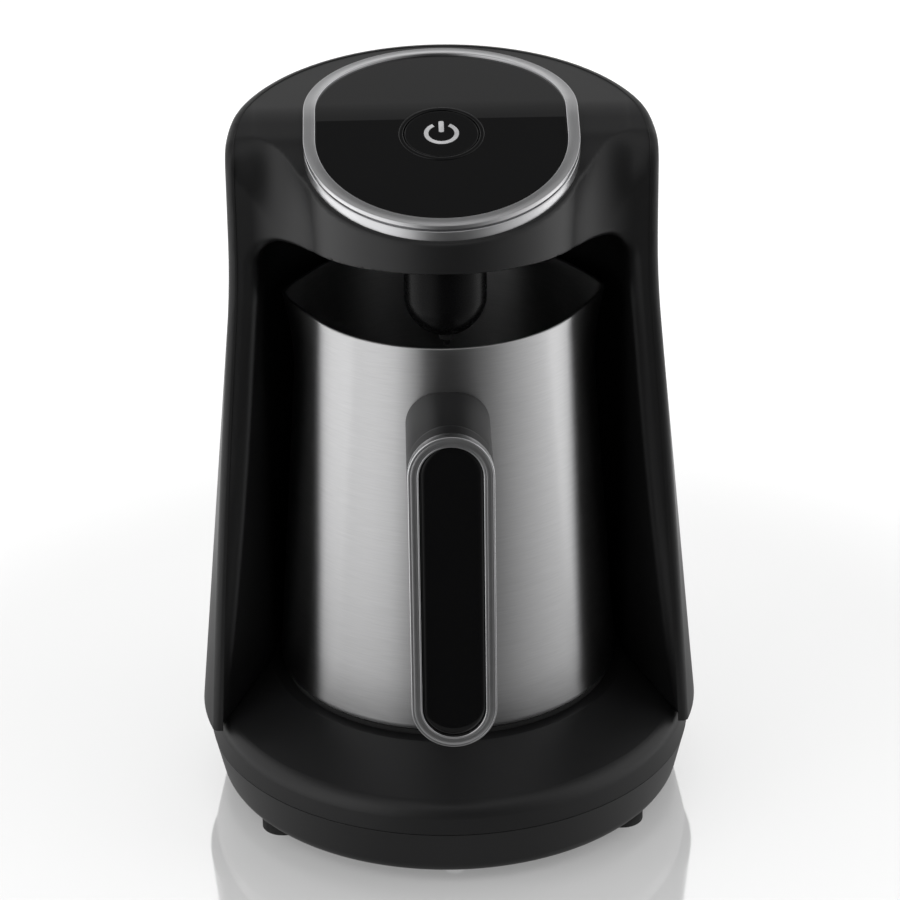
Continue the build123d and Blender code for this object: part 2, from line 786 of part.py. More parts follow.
def make_panel_carrier():
    """Moulding under the panel that guides the button and carries the control board."""
    carrier = stadium(panel_radius, 0, sky) & crown_slab(-pocket_depth, panel_proud - panel_thickness)
    place = panel_place()
    for x, y in control_posts():
        low_end = place * Pos(x, y, -pocket_depth - control_drop)
        carrier = carrier + low_end * disc(control_post_radius, control_drop + panel_thickness)
        carrier = carrier - low_end * disc(board_screw_radius + screw_clearance, control_drop)
    return carrier - place * Pos(0, 0, -far / 2) * disc(bezel_inner, far)


def control_posts():
    return [(sx * control_post_x, sy * control_post_y) for sx in (-1, 1) for sy in (-1, 1)]


def make_button_bezel():
    height = bezel_proud + panel_thickness - panel_proud + bezel_seat_drop
    bezel = ring(bezel_outer, bezel_inner, height)
    edge = [e for e in bezel.edges().filter_by(GeomType.CIRCLE) if e.center().Z > height / 2]
    bezel = chamfer(edge, bezel_chamfer)
    bezel = panel_place() * Pos(0, 0, bezel_proud - height) * bezel
    return bezel - under_crown(panel_proud - panel_thickness)


def make_power_button():
    """Round key with a stem that stops just short of the switch."""
    place = panel_place()
    cap = Pos(0, 0, button_proud - button_thickness) * disc(button_radius, button_thickness)
    cap = fillet([e for e in cap.edges() if e.center().Z > button_proud - hair], button_proud)
    switch_top = -pocket_depth - control_drop + switch_height() + switch_button_length
    stem_low = switch_top + button_travel + hair
    stem = Pos(0, 0, stem_low) * disc(stem_radius, button_proud - button_thickness / 2 - stem_low)
    recess = Pos(0, 0, button_proud - icon_depth) * icon_shape(icon_depth + near, touch)
    return place * (cap + stem - recess)


def switch_height():
    return switch_size[2]


def icon_shape(height, grow=0.0):
    """Power symbol: an open ring, and a bar in the opening."""
    inner = icon_radius - icon_stroke - grow
    band = Circle(icon_radius + grow) - Circle(inner)
    reach = 2 * icon_radius
    half = radians(icon_gap_angle / 2) - grow / icon_radius
    x, y = reach * sin(half), reach * cos(half)
    mouth = Polyline((0, 0), (-x, y), (x, y), close=True)
    bar_centre = icon_radius + icon_stroke / 2 - icon_bar_length / 2
    bar = RectangleRounded(icon_bar_width + 2 * grow, icon_bar_length + 2 * grow, icon_bar_rounding)
    bar = Pos(0, bar_centre) * bar
    return extrude(band - make_face(mouth), amount=height) + extrude(bar, amount=height)


def make_power_icon():
    depth = icon_depth + icon_proud
    return group([panel_place() * Pos(0, 0, button_proud - icon_depth) * icon_shape(depth)])


def on_control(x, y, shape):
    """Place a part on the control board, which lies under the panel and parallel to it."""
    return panel_place() * Pos(x, y, -pocket_depth - control_drop) * shape


def make_control_board():
    board = Pos(0, 0, -control_thickness) * block(control_length, control_width, control_thickness)
    for x, y in control_posts():
        board = board - Pos(x, y, -far / 2) * disc(board_screw_radius + screw_clearance, far)
    return on_control(0, 0, board)


def make_control_screws():
    length = control_thickness + control_drop / 2
    piece = screw(board_boss_radius - hair, board_screw_head, board_screw_radius, length)
    piece = Pos(0, 0, -control_thickness) * piece
    return group([on_control(x, y, piece) for x, y in control_posts()])


def make_tact_switch():
    body = block(*switch_size)
    key = Pos(0, 0, switch_height()) * disc(switch_button_radius, switch_button_length)
    return on_control(0, 0, body + key)


def make_status_leds():
    lamp = disc(led_radius, led_height)
    return group([on_control(side * led_x, 0, lamp) for side in (-1, 1)])


def make_light_guides():
    """Clear pegs in the carrier's web that bring the lamps' light up to the key."""
    low = led_height + touch
    key_underside = pocket_depth + control_drop + button_proud - button_thickness
    peg = Pos(0, 0, low) * disc(guide_radius, key_underside - button_travel - guide_clearance - low)
    return group([on_control(side * led_x, 0, peg) for side in (-1, 1)])


def make_buzzer():
    return on_control(buzzer_x, 0, disc(buzzer_radius, buzzer_height))


# ---- Foam sensor ----
def make_sensor_housing():
    """Glossy dome that hangs from the head's underside on an inner flange."""
    low = dome_centre_height
    high = ceiling_front_height + far
    tube = Pos(0, dome_y, low) * disc(dome_radius, high - low) + Pos(0, dome_y, low) * Sphere(dome_radius)
    core = dome_radius - dome_wall
    space = Pos(0, dome_y, low) * disc(core, high - low) + Pos(0, dome_y, low) * Sphere(core)
    top = wall + dome_flange_thickness
    room = under_ceiling(top) & under_crown(-ledge_drop - hair)
    room_above = room - under_ceiling(wall + hair)
    flange = Pos(0, dome_y) * disc(dome_radius + dome_flange, sky)
    flange = flange & stadium(head_radius - wall - hair, 0, sky) & room_above
    shell = (tube & room) + flange - space
    return shell - Pos(0, dome_y, 0) * disc(collar_radius + touch, low)


def make_probe_collar():
    """Insulating sleeve that carries the probe through the bottom of the dome."""
    low = dome_bottom() - collar_length
    length = dome_centre_height - dome_wall - low
    return Pos(0, dome_y, low) * ring(collar_radius, probe_radius + touch, length)


def dome_bottom():
    return dome_centre_height - dome_radius


def make_foam_probe():
    top = dome_centre_height + dome_wall
    rod = Pos(0, dome_y, probe_tip_height) * disc(probe_radius, top - probe_tip_height)
    return fillet([e for e in rod.edges() if e.center().Z < probe_tip_height + touch], probe_tip_rounding)


def make_probe_board():
    """Small round board inside the dome that the probe is soldered to."""
    board = ring(dome_radius - dome_wall - hair, probe_radius + touch, board_thickness)
    return Pos(0, dome_y, dome_centre_height) * board


def make_riser_cable():
    """Flat cable that joins the two boards, up the side between the shell and the bay."""
    ends = [Pos(*place) * Rectangle(cable_thickness, cable_width) for place in (cable_low, cable_high)]
    return loft([end.face() for end in ends])


# ---- Pot ----
def pot_radius(height):
    """Outer radius of the pot's tapered wall at a height above the table."""
    return pot_bottom_radius + (pot_rim_radius - pot_bottom_radius) * (height - pot_bottom) / pot_height


def lipped_plan(radius, reach, height):
    """Circle with two pouring lips at +X and -X, drawn with eight edges."""
    tip = spout_tip_rounding
    tip_x = radius + reach - tip
    angle = atan(sqrt(tip_x**2 - (radius - tip) ** 2) / (radius - tip))
    far_point = (radius * cos(angle), radius * sin(angle))
    near_point = (tip_x + tip * cos(angle), tip * sin(angle))
    edges = [ThreePointArc(far_point, (0, radius), (-far_point[0], far_point[1]))]
    edges.append(Line((-far_point[0], far_point[1]), (-near_point[0], near_point[1])))
    edges.append(ThreePointArc(edges[-1] @ 1, (-tip_x - tip, 0), (-near_point[0], -near_point[1])))
    edges.append(Line(edges[-1] @ 1, (-far_point[0], -far_point[1])))
    edges.append(ThreePointArc(edges[-1] @ 1, (0, -radius), (far_point[0], -far_point[1])))
    edges.append(Line(edges[-1] @ 1, (near_point[0], -near_point[1])))
    edges.append(ThreePointArc(edges[-1] @ 1, (tip_x + tip, 0), near_point))
    edges.append(Line(edges[-1] @ 1, far_point))
    return Pos(0, 0, height) * make_face(edges), angle


def plain_plan(radius, angle, height):
    """The same circle without lips, cut into eight arcs that face the lipped plan's edges."""
    tip_angle = angle * spout_tip_share
    stops = [angle, 180 - angle, 180 - tip_angle, 180 + tip_angle, 180 + angle, 360 - angle, 360 - tip_angle]
    stops = stops + [360 + tip_angle, 360 + angle]
    edges = [CenterArc((0, 0), radius, a, b - a) for a, b in zip(stops, stops[1:])]
    return Pos(0, 0, height) * make_face(edges)


def pot_form(inset, floor):
    """Solid pot, its wall moved in by inset and its floor up to floor."""
    brim = pot_rim_height + wall
    top, angle = lipped_plan(pot_radius(brim) - inset, spout_reach, brim)
    neck = pot_rim_height - spout_depth
    low = plain_plan(pot_radius(neck) - inset, degrees(angle), neck)
    upper = loft([low, top], ruled=True)
    corners = [(pot_radius(height) - inset, height) for height in (floor, neck)]
    lower = turned([(0, floor), *corners, (0, neck)])
    corner = max((e for e in lower.edges() if e.center().Z < floor + touch), key=lambda e: e.length)
    lower = fillet(corner, pot_bottom_rounding - min(inset, pot_bottom_rounding / 2))
    return upper + lower


def under_rim():
    """Everything below the rim, which is level at the front and dips towards the back."""
    start = (0, pot_rim_dip_start, pot_rim_height)
    level = Line((0, -far, pot_rim_height), start)
    bend = TangentArc(start, (0, pot_rim_radius, pot_rim_height - pot_rim_dip), tangent=(0, 1, 0))
    end = bend @ 1
    rest = Polyline(end, (0, far, end.Z), (0, far, -far), (0, -far, -far), (0, -far, pot_rim_height))
    return side_prism(level.edges() + bend.edges() + rest.edges())


def make_pot_body():
    body = pot_form(0, pot_bottom) - pot_form(pot_wall, pot_bottom + pot_floor_thickness)
    return body & under_rim()


def make_pot_foot_ring():
    outer = pot_bottom_radius - pot_foot_inset
    return Pos(0, 0, seat_height) * ring(outer, outer - pot_foot_width, pot_foot_height)


def make_pot_base_disc():
    """Thick aluminium disc under the pot that takes the heat from the plate."""
    outer = pot_bottom_radius - pot_foot_inset - pot_foot_width - touch
    return Pos(0, 0, seat_height) * disc(outer, pot_foot_height)


# ---- Handle ----
def handle_place():
    """Frame in the middle of the handle's front face, Y up along it and Z out of it."""
    top_y, bottom_y = handle_front_y(handle_top_height), handle_front_y(handle_bottom_height)
    rise = handle_top_height - handle_bottom_height
    run = top_y - bottom_y
    length = sqrt(rise**2 + run**2)
    middle = (0, (top_y + bottom_y) / 2, (handle_top_height + handle_bottom_height) / 2)
    return Plane(origin=middle, x_dir=(1, 0, 0), z_dir=(0, -rise / length, run / length)), length


def handle_slot(length, inset, low, high):
    slot = SlotOverall(length - 2 * inset, handle_width - 2 * inset, rotation=90)
    return Pos(0, 0, low) * extrude(slot, amount=high - low)


def make_handle_body():
    """Grip with the arm that reaches back to the pot; its lower end is free."""
    place, length = handle_place()
    grip = handle_slot(length, 0, -handle_thickness, -handle_trim_depth)
    back = [e for e in grip.edges() if e.center().Z < -handle_thickness + hair]
    grip = place * fillet(back, handle_back_rounding)
    low = arm_top_height - arm_height
    outline = RectangleRounded(handle_width, arm_height, arm_rounding)
    start_y = -pot_radius(arm_top_height) / 2
    reach = start_y - handle_front_y(handle_top_height) - handle_trim_depth - arm_root
    start = Plane(origin=(0, start_y, low + arm_height / 2), x_dir=(1, 0, 0), z_dir=(0, -1, 0))
    body = grip + start * extrude(outline, amount=reach)
    body = body - pot_cone(low - wall, arm_top_height + wall, arm_seat_gap)
    body = body - stud_line(-bracket_front_y() + touch, stud_radius + hair, stud_length() + hair)
    body = body - bracket_block(hair)
    body = body - stud_line(-bracket_front_y(), handle_screw_radius + screw_clearance, far)
    head_seat = -handle_front_y(stud_height) - handle_trim_depth - handle_screw_sink
    return body - stud_line(head_seat, handle_screw_head_radius + hair, far)


def pot_cone(low, high, gap):
    """The pot's taper between two heights, moved out by a gap."""
    return turned([(0, low), (pot_radius(low) + gap, low), (pot_radius(high) + gap, high), (0, high)])


def stud_line(start, radius, length):
    """Round rod that points forward from y = -start at the stud's height."""
    return Plane(origin=(0, -start, stud_height), z_dir=(0, -1, 0)) * disc(radius, length)


def handle_front_y(height):
    """The front of the grip runs parallel to the pot's wall."""
    return -pot_radius(height) - handle_reach


def bracket_front_y():
    return -pot_radius(stud_height) - bracket_thickness


def stud_length():
    """From the bracket to the middle of the arm."""
    return -handle_front_y(stud_height) - handle_thickness + bracket_front_y()


def bracket_block(grow=0.0):
    size = (bracket_width + 2 * grow, bracket_height + 2 * grow)
    origin = (0, bracket_front_y() - grow, stud_height)
    face = Plane(origin=origin, x_dir=(1, 0, 0), z_dir=(0, 1, 0))
    return extrude(face * Rectangle(*size), amount=pot_bottom_radius / 2)


def make_handle_bracket():
    """Steel block welded to the pot's wall, with the threaded stud that carries the handle."""
    cone = pot_cone(stud_height - bracket_height, stud_height + bracket_height, touch)
    return bracket_block() - cone + stud_line(-bracket_front_y(), stud_radius, stud_length())


def make_handle_screw():
    seat = -handle_front_y(stud_height) - handle_trim_depth - handle_screw_sink
    start = -bracket_front_y() + stud_length()
    rod = stud_line(start, handle_screw_radius, seat - start)
    return rod + stud_line(seat, handle_screw_head_radius, handle_screw_head_height)


def make_handle_trim():
    place, length = handle_place()
    band = handle_slot(length, 0, -handle_trim_depth, 0)
    band = band - handle_slot(length, handle_trim_width, -handle_trim_depth, 0)
    edges = [e for e in band.edges() if e.center().Z > -hair]
    return place * fillet(edges, handle_trim_rounding)


def make_handle_inlay():
    place, length = handle_place()
    plate = handle_slot(length, handle_trim_width + touch, -handle_trim_depth, -handle_inlay_drop)
    edges = [e for e in plate.edges() if e.center().Z > -handle_inlay_drop - hair]
    return place * fillet(edges, handle_inlay_rounding)


def build_parts():
    """Every piece by its node name."""
    form = tower_form()
    return {
        "outer_shell": make_outer_shell(form),
        "front_casing": cut_for_panel(make_front_casing(form)),
        "base_cover": make_base_cover(),
        "bottom_cover": make_bottom_cover(),
        "rubber_feet": make_rubber_feet(),
        "base_screws": make_base_screws(),
        "cord_grommet": make_cord_grommet(),
        "cord_clamp": make_cord_clamp(),
        "heating_plate": make_heating_plate(),
        "plate_seal": make_plate_seal(),
        "heating_element": make_heating_element(),
        "element_pins": make_element_pins(),
        "heat_shield": make_heat_shield(),
        "thermistor": make_thermistor(),
        "thermistor_clip": make_thermistor_clip(),
        "thermal_fuse": make_thermal_fuse(),
        "power_board": make_power_board(),
        "power_board_screws": make_board_screws(),
        "relay": on_board(*relay_place, block(*relay_size)),
        "transformer": on_board(*transformer_place, block(*transformer_size)),
        "capacitor": make_capacitor(),
        "terminal_block": on_board(*terminal_place, block(*terminal_size)),
        "riser_cable": make_riser_cable(),
        "trim_ring": make_trim_ring(),
        "trim_skirt": make_trim_skirt(),
        "top_panel": make_top_panel(),
        "panel_carrier": make_panel_carrier(),
        "button_bezel": make_button_bezel(),
        "power_button": make_power_button(),
        "power_icon": make_power_icon(),
        "control_board": make_control_board(),
        "control_board_screws": make_control_screws(),
        "tact_switch": make_tact_switch(),
        "status_leds": make_status_leds(),
        "light_guides": make_light_guides(),
        "buzzer": make_buzzer(),
        "sensor_housing": make_sensor_housing(),
        "probe_collar": make_probe_collar(),
        "foam_probe": make_foam_probe(),
        "probe_board": make_probe_board(),
        "pot_body": make_pot_body(),
        "pot_base_disc": make_pot_base_disc(),
        "pot_foot_ring": make_pot_foot_ring(),
        "handle_body": make_handle_body(),
        "handle_bracket": make_handle_bracket(),
        "handle_screw": make_handle_screw(),
        "handle_trim": make_handle_trim(),
        "handle_inlay": make_handle_inlay(),
    }


def main():
    os.makedirs("parts", exist_ok=True)
    for name, shape in build_parts().items():
        export_step(shape, f"parts/{name}.step")


if __name__ == "__main__":
    main()
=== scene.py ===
import json
import math

import bpy
import numpy as np
from mathutils import Matrix, Vector


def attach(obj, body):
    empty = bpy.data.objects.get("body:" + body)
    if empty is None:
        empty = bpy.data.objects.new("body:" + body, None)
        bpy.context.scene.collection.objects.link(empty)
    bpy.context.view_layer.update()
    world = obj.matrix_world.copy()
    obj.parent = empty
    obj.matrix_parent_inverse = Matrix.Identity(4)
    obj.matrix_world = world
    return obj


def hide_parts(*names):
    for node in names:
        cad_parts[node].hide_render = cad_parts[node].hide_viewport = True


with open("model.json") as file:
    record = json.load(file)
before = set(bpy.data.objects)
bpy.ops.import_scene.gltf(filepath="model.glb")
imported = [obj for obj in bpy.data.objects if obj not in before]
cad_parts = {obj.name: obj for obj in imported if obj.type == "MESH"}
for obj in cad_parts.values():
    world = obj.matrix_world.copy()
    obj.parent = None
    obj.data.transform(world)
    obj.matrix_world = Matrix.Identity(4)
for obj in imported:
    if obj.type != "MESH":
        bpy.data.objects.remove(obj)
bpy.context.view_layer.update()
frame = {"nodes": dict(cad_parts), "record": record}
NODES = frame["nodes"]
MM = 0.001

# Electric Turkish coffee maker. Metres in the frame of the CAD part: +Z up, the front is -Y,
# the origin is on the table under the axis of the pot. Sizes below are in millimetres.


# ---- Wiring of node trees ----
class Wiring:
    """Short ways to add nodes to a tree and to join them."""

    def __init__(self, tree):
        self.tree = tree

    def add(self, kind, **settings):
        node = self.tree.nodes.new(kind)
        for key, value in settings.items():
            setattr(node, key, value)
        return node

    def join(self, source, target):
        self.tree.links.new(source, target)

    def put(self, value, socket):
        """A number is written on the socket, anything else is joined to it."""
        if isinstance(value, (int, float)):
            socket.default_value = value
        else:
            self.join(value, socket)

    def math(self, operation, a, b=0.0, clamp=False):
        node = self.add("ShaderNodeMath", operation=operation, use_clamp=clamp)
        self.put(a, node.inputs[0])
        self.put(b, node.inputs[1])
        return node.outputs["Value"]

    def ranged(self, value, start, end, low=0.0, high=1.0, smooth=False):
        kind = "SMOOTHSTEP" if smooth else "LINEAR"
        node = self.add("ShaderNodeMapRange", interpolation_type=kind)
        settings = {"From Min": start, "From Max": end, "To Min": low, "To Max": high}
        for socket, setting in settings.items():
            self.put(setting, node.inputs[socket])
        self.join(value, node.inputs["Value"])
        return node.outputs["Result"]

    def blend(self, factor, a, b):
        node = self.add("ShaderNodeMix", data_type="FLOAT")
        self.put(factor, node.inputs["Factor"])
        self.put(a, node.inputs["A"])
        self.put(b, node.inputs["B"])
        return node.outputs["Result"]

    def mix_shaders(self, factor, a, b):
        node = self.add("ShaderNodeMixShader")
        self.put(factor, node.inputs["Fac"])
        self.join(a, node.inputs[1])
        self.join(b, node.inputs[2])
        return node.outputs["Shader"]

    def parts(self, vector):
        node = self.add("ShaderNodeSeparateXYZ")
        self.join(vector, node.inputs["Vector"])
        return node.outputs

    def distance(self, x, y):
        squares = self.math("ADD", self.math("MULTIPLY", x, x), self.math("MULTIPLY", y, y))
        return self.math("SQRT", squares)


# ---- Finishes ----
class Finish(Wiring):
    """A material round one Principled shader."""

    def __init__(self, name, color, roughness, metallic=0.0):
        self.material = bpy.data.materials.new(name)
        self.material.use_nodes = True
        super().__init__(self.material.node_tree)
        self.shader = self.tree.nodes["Principled BSDF"]
        self.color = color
        self.set("Base Color", (*color, 1.0))
        self.set("Roughness", roughness)
        self.set("Metallic", metallic)
        self.place = self.add("ShaderNodeTexCoord").outputs["Object"]

    def set(self, socket, value):
        self.shader.inputs[socket].default_value = value

    def stretched(self, scale):
        node = self.add("ShaderNodeMapping")
        node.inputs["Scale"].default_value = scale
        self.join(self.place, node.inputs["Vector"])
        return node.outputs["Vector"]

    def around(self, turns, rise):
        """A place that hardly changes along a circle about the upright axis, but quickly in height."""
        x, y, z = self.parts(self.place)
        radius = self.distance(x, y)
        out = self.add("ShaderNodeCombineXYZ")
        self.join(self.math("MULTIPLY", self.math("DIVIDE", x, radius), turns), out.inputs["X"])
        self.join(self.math("MULTIPLY", self.math("DIVIDE", y, radius), turns), out.inputs["Y"])
        self.join(self.math("MULTIPLY", z, rise), out.inputs["Z"])
        return out.outputs["Vector"]

    def rings(self, scale):
        """A place that only changes with the distance from the upright axis."""
        x, y, _ = self.parts(self.place)
        out = self.add("ShaderNodeCombineXYZ")
        self.join(self.math("MULTIPLY", self.distance(x, y), scale), out.inputs["X"])
        return out.outputs["Vector"]

    def noise(self, scale, detail=2.0, place=None):
        """Noise of about that many waves to the metre, or to the unit of the given place."""
        node = self.add("ShaderNodeTexNoise")
        node.inputs["Scale"].default_value = scale
        node.inputs["Detail"].default_value = detail
        self.join(self.place if place is None else place, node.inputs["Vector"])
        return node.outputs["Fac"]

    def spread(self, value, low, high, width=0.25):
        """A noise value, which stays near 0.5, spread out from low to high."""
        return self.ranged(value, 0.5 - width, 0.5 + width, low, high)

    def tint(self, value, darker, lighter):
        """The colour goes between two shares of itself with a value from 0 to 1."""
        node = self.add("ShaderNodeMix", data_type="RGBA")
        ends = [socket for socket in node.inputs if socket.type == "RGBA"]
        for socket, share in zip(ends, (darker, lighter)):
            socket.default_value = (*[share * part for part in self.color], 1.0)
        self.join(value, node.inputs["Factor"])
        result = next(socket for socket in node.outputs if socket.type == "RGBA")
        self.join(result, self.shader.inputs["Base Color"])

    def roughen(self, value):
        self.join(value, self.shader.inputs["Roughness"])

    def relief(self, height, depth, strength=1.0, edge=0.0):
        """Surface relief of that depth, over edges rounded by that radius, in millimetres."""
        node = self.add("ShaderNodeBump")
        node.inputs["Strength"].default_value = strength
        node.inputs["Distance"].default_value = depth * MM
        self.join(height, node.inputs["Height"])
        if edge:
            soft = self.add("ShaderNodeBevel", samples=4)
            soft.inputs["Radius"].default_value = edge * MM
            self.join(soft.outputs["Normal"], node.inputs["Normal"])
        self.join(node.outputs["Normal"], self.shader.inputs["Normal"])


def moulded(name, color, roughness, grain=0.35, depth=0.02, edge=0.35):
    """Moulded plastic: a fine grain of that size, and slow changes of gloss and tone."""
    f = Finish(name, color, roughness)
    cloud = f.noise(45.0, 3.0)
    f.tint(f.spread(cloud, 0.0, 1.0), 0.88, 1.12)
    f.roughen(f.spread(cloud, roughness - 0.02, roughness + 0.02))
    f.relief(f.noise(1.0 / (grain * MM)), depth, strength=0.4, edge=edge)
    return f.material


def lacquer(name, color, roughness, level=0.34, edge=0.2):
    """High gloss plastic: nearly even, with a slight orange peel and hairlines in the gloss."""
    f = Finish(name, color, roughness)
    f.set("Specular IOR Level", level)
    hairlines = f.noise(900.0, 4.0, f.stretched((1.0, 0.25, 1.0)))
    f.roughen(f.spread(hairlines, roughness, roughness + 0.03))
    f.tint(f.spread(f.noise(30.0), 0.0, 1.0), 0.9, 1.1)
    f.relief(f.noise(160.0, 1.0), 0.004, 0.3, edge)
    return f.material


def brushed_round(name, color, roughness):
    """Steel brushed round the upright axis: hairlines that follow the wall."""
    f = Finish(name, color, roughness, 1.0)
    f.set("Anisotropic", 0.92)
    f.set("Anisotropic Rotation", 0.25)
    tangent = f.add("ShaderNodeTangent", direction_type="RADIAL", axis="Z")
    f.join(tangent.outputs["Tangent"], f.shader.inputs["Tangent"])
    hair = f.noise(1.0, 4.0, f.around(7.0, 5200.0))
    band = f.noise(1.0, 3.0, f.around(3.0, 1100.0))
    both = f.math("ADD", f.math("MULTIPLY", hair, 0.7), f.math("MULTIPLY", band, 0.3))
    f.tint(f.spread(both, 0.0, 1.0, 0.2), 0.93, 1.06)
    f.roughen(f.spread(both, roughness - 0.03, roughness + 0.04))
    f.relief(both, 0.003, 0.35)
    return f.material


def turned(name, color, roughness):
    """Metal turned on a lathe: fine rings about the upright axis, lightly stained."""
    f = Finish(name, color, roughness, 1.0)
    ring = f.noise(1.0, 3.0, f.rings(2600.0))
    f.tint(f.spread(f.noise(70.0, 4.0), 0.0, 1.0), 0.78, 1.08)
    f.roughen(f.spread(ring, roughness - 0.06, roughness + 0.08))
    f.relief(ring, 0.012, 0.6, 0.2)
    return f.material


def plated(name, color, roughness, edge=0.0):
    """Bright plating with a soft, slightly uneven gloss."""
    f = Finish(name, color, roughness, 1.0)
    f.roughen(f.spread(f.noise(420.0, 3.0), roughness - 0.015, roughness + 0.02))
    f.tint(f.spread(f.noise(60.0), 0.0, 1.0), 0.97, 1.02)
    f.relief(f.noise(2600.0), 0.001, 0.3, edge)
    return f.material


def elastomer(name, color):
    """Rubber: matte, a little dusty, with a fine skin."""
    f = Finish(name, color, 0.78)
    f.tint(f.spread(f.noise(300.0, 4.0), 0.0, 1.0), 0.8, 1.35)
    f.roughen(f.spread(f.noise(900.0), 0.7, 0.88))
    f.relief(f.noise(2400.0, 3.0), 0.03, 0.6, 0.4)
    return f.material


def printed_white(name):
    """White translucent plastic of the power symbol, a little dimmer in patches."""
    f = Finish(name, (0.50, 0.50, 0.51), 0.22)
    f.tint(f.spread(f.noise(220.0), 0.0, 1.0), 0.8, 1.15)
    f.roughen(f.spread(f.noise(700.0), 0.18, 0.28))
    f.relief(f.noise(900.0), 0.004, 0.3, 0.15)
    return f.material


def circuit_board(name):
    """Green lacquer over copper tracks that run in a square grid."""
    f = Finish(name, (0.012, 0.11, 0.045), 0.32)
    tracks = f.add("ShaderNodeTexBrick", offset=0.5)
    shares = {"Color1": 0.9, "Color2": 1.3, "Mortar": 2.2}
    for socket, share in shares.items():
        tracks.inputs[socket].default_value = (*[share * part for part in f.color], 1.0)
    tracks.inputs["Scale"].default_value = 260.0
    tracks.inputs["Mortar Size"].default_value = 0.035
    f.join(f.place, tracks.inputs["Vector"])
    f.join(tracks.outputs["Color"], f.shader.inputs["Base Color"])
    f.roughen(f.spread(f.noise(500.0), 0.26, 0.38))
    f.relief(tracks.outputs["Fac"], 0.03, 0.5)
    return f.material


def ribbon(name):
    """Flat cable: grey strands side by side."""
    f = Finish(name, (0.28, 0.28, 0.29), 0.55)
    strands = f.add("ShaderNodeTexWave", wave_type="BANDS", bands_direction="Y")
    strands.inputs["Scale"].default_value = 320.0
    f.join(f.place, strands.inputs["Vector"])
    f.tint(strands.outputs["Fac"], 0.55, 1.1)
    f.roughen(f.spread(f.noise(400.0), 0.5, 0.62))
    f.relief(strands.outputs["Fac"], 0.15, 0.8)
    return f.material


def clear_plastic(name):
    f = Finish(name, (0.92, 0.93, 0.95), 0.12)
    f.set("Transmission Weight", 0.85)
    f.set("IOR", 1.49)
    f.roughen(f.spread(f.noise(700.0, 3.0), 0.08, 0.2))
    f.relief(f.noise(500.0), 0.01, 0.3)
    return f.material


BLACK = (0.0072, 0.0072, 0.0076)
FINISHES = {
    "satin_shell": moulded("satin_shell", BLACK, 0.42),
    "satin_casing": moulded("satin_casing", BLACK, 0.40),
    "satin_handle": moulded("satin_handle", (0.008, 0.008, 0.0084), 0.45),
    "rubber": elastomer("rubber", (0.009, 0.009, 0.009)),
    "steel_small": plated("steel_small", (0.55, 0.55, 0.56), 0.3, edge=0.15),
    "inner_plastic": moulded("inner_plastic", (0.035, 0.035, 0.038), 0.5, grain=0.6, depth=0.03),
    "plate_metal": turned("plate_metal", (0.52, 0.52, 0.53), 0.34),
    "element_metal": plated("element_metal", (0.33, 0.29, 0.26), 0.42),
    "shield_metal": turned("shield_metal", (0.68, 0.68, 0.69), 0.38),
    "board": circuit_board("board"),
    "cable": ribbon("cable"),
    "chrome": plated("chrome", (0.74, 0.74, 0.75), 0.30),
    "gloss_black": lacquer("gloss_black", (0.0028, 0.0028, 0.003), 0.03),
    "sensor_black": lacquer("sensor_black", (0.0026, 0.0026, 0.0028), 0.26, level=0.1),
    "icon_white": printed_white("icon_white"),
    "clear_lens": clear_plastic("clear_lens"),
    "probe_steel": plated("probe_steel", (0.72, 0.72, 0.73), 0.14, edge=0.1),
    "brushed_pot": brushed_round("brushed_pot", (0.62, 0.62, 0.625), 0.31),
}


# ---- Meshes ----
def make_piece(name, points, faces, slot, body, replaced=(), sharp=38.0, finish=None):
    """A mesh piece in millimetres that rides on a body and stands for the replaced nodes."""
    mesh = bpy.data.meshes.new(name)
    mesh.from_pydata([Vector(point) * MM for point in points], [], faces)
    mesh.validate()
    mesh.shade_smooth()
    mesh.set_sharp_from_angle(angle=math.radians(sharp))
    mesh.materials.append(FINISHES[finish or slot])
    piece = bpy.data.objects.new(name, mesh)
    bpy.context.scene.collection.objects.link(piece)
    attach(piece, body)
    if replaced:
        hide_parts(*replaced)
    return piece


def grid_faces(rows, columns, close_rows=False):
    """Quads over rows of points that are closed round; close_rows joins the last row to the first."""
    faces = []
    for i in range(rows if close_rows else rows - 1):
        for j in range(columns):
            k = (j + 1) % columns
            here, there = i * columns, ((i + 1) % rows) * columns
            faces.append((here + j, here + k, there + k, there + j))
    return faces


def capped_faces(rows, columns):
    """Quads over rows of points that are closed round, with a cap over the last and the first row."""
    last = (rows - 1) * columns
    caps = [tuple(last + j for j in range(columns)), tuple(reversed(range(columns)))]
    return grid_faces(rows, columns) + caps


def arc(centre, radius, start, end, steps):
    """Points of an arc in a profile's plane; angles in degrees."""
    turns = [math.radians(start + (end - start) * i / steps) for i in range(steps + 1)]
    return [(centre[0] + radius * math.cos(t), centre[1] + radius * math.sin(t)) for t in turns]


def slot_path(half_length, per_arc, per_side):
    """Directions and centres along a slot outline: (direction x, direction y, centre y)."""
    path = []
    for end in (1, -1):
        start = 0 if end > 0 else 180
        for i in range(per_arc + 1):
            turn = math.radians(start + 180 * i / per_arc)
            path.append((math.cos(turn), math.sin(turn), end * half_length))
        for i in range(1, per_side):
            path.append((-end, 0.0, end * half_length * (1 - 2 * i / per_side)))
    return path


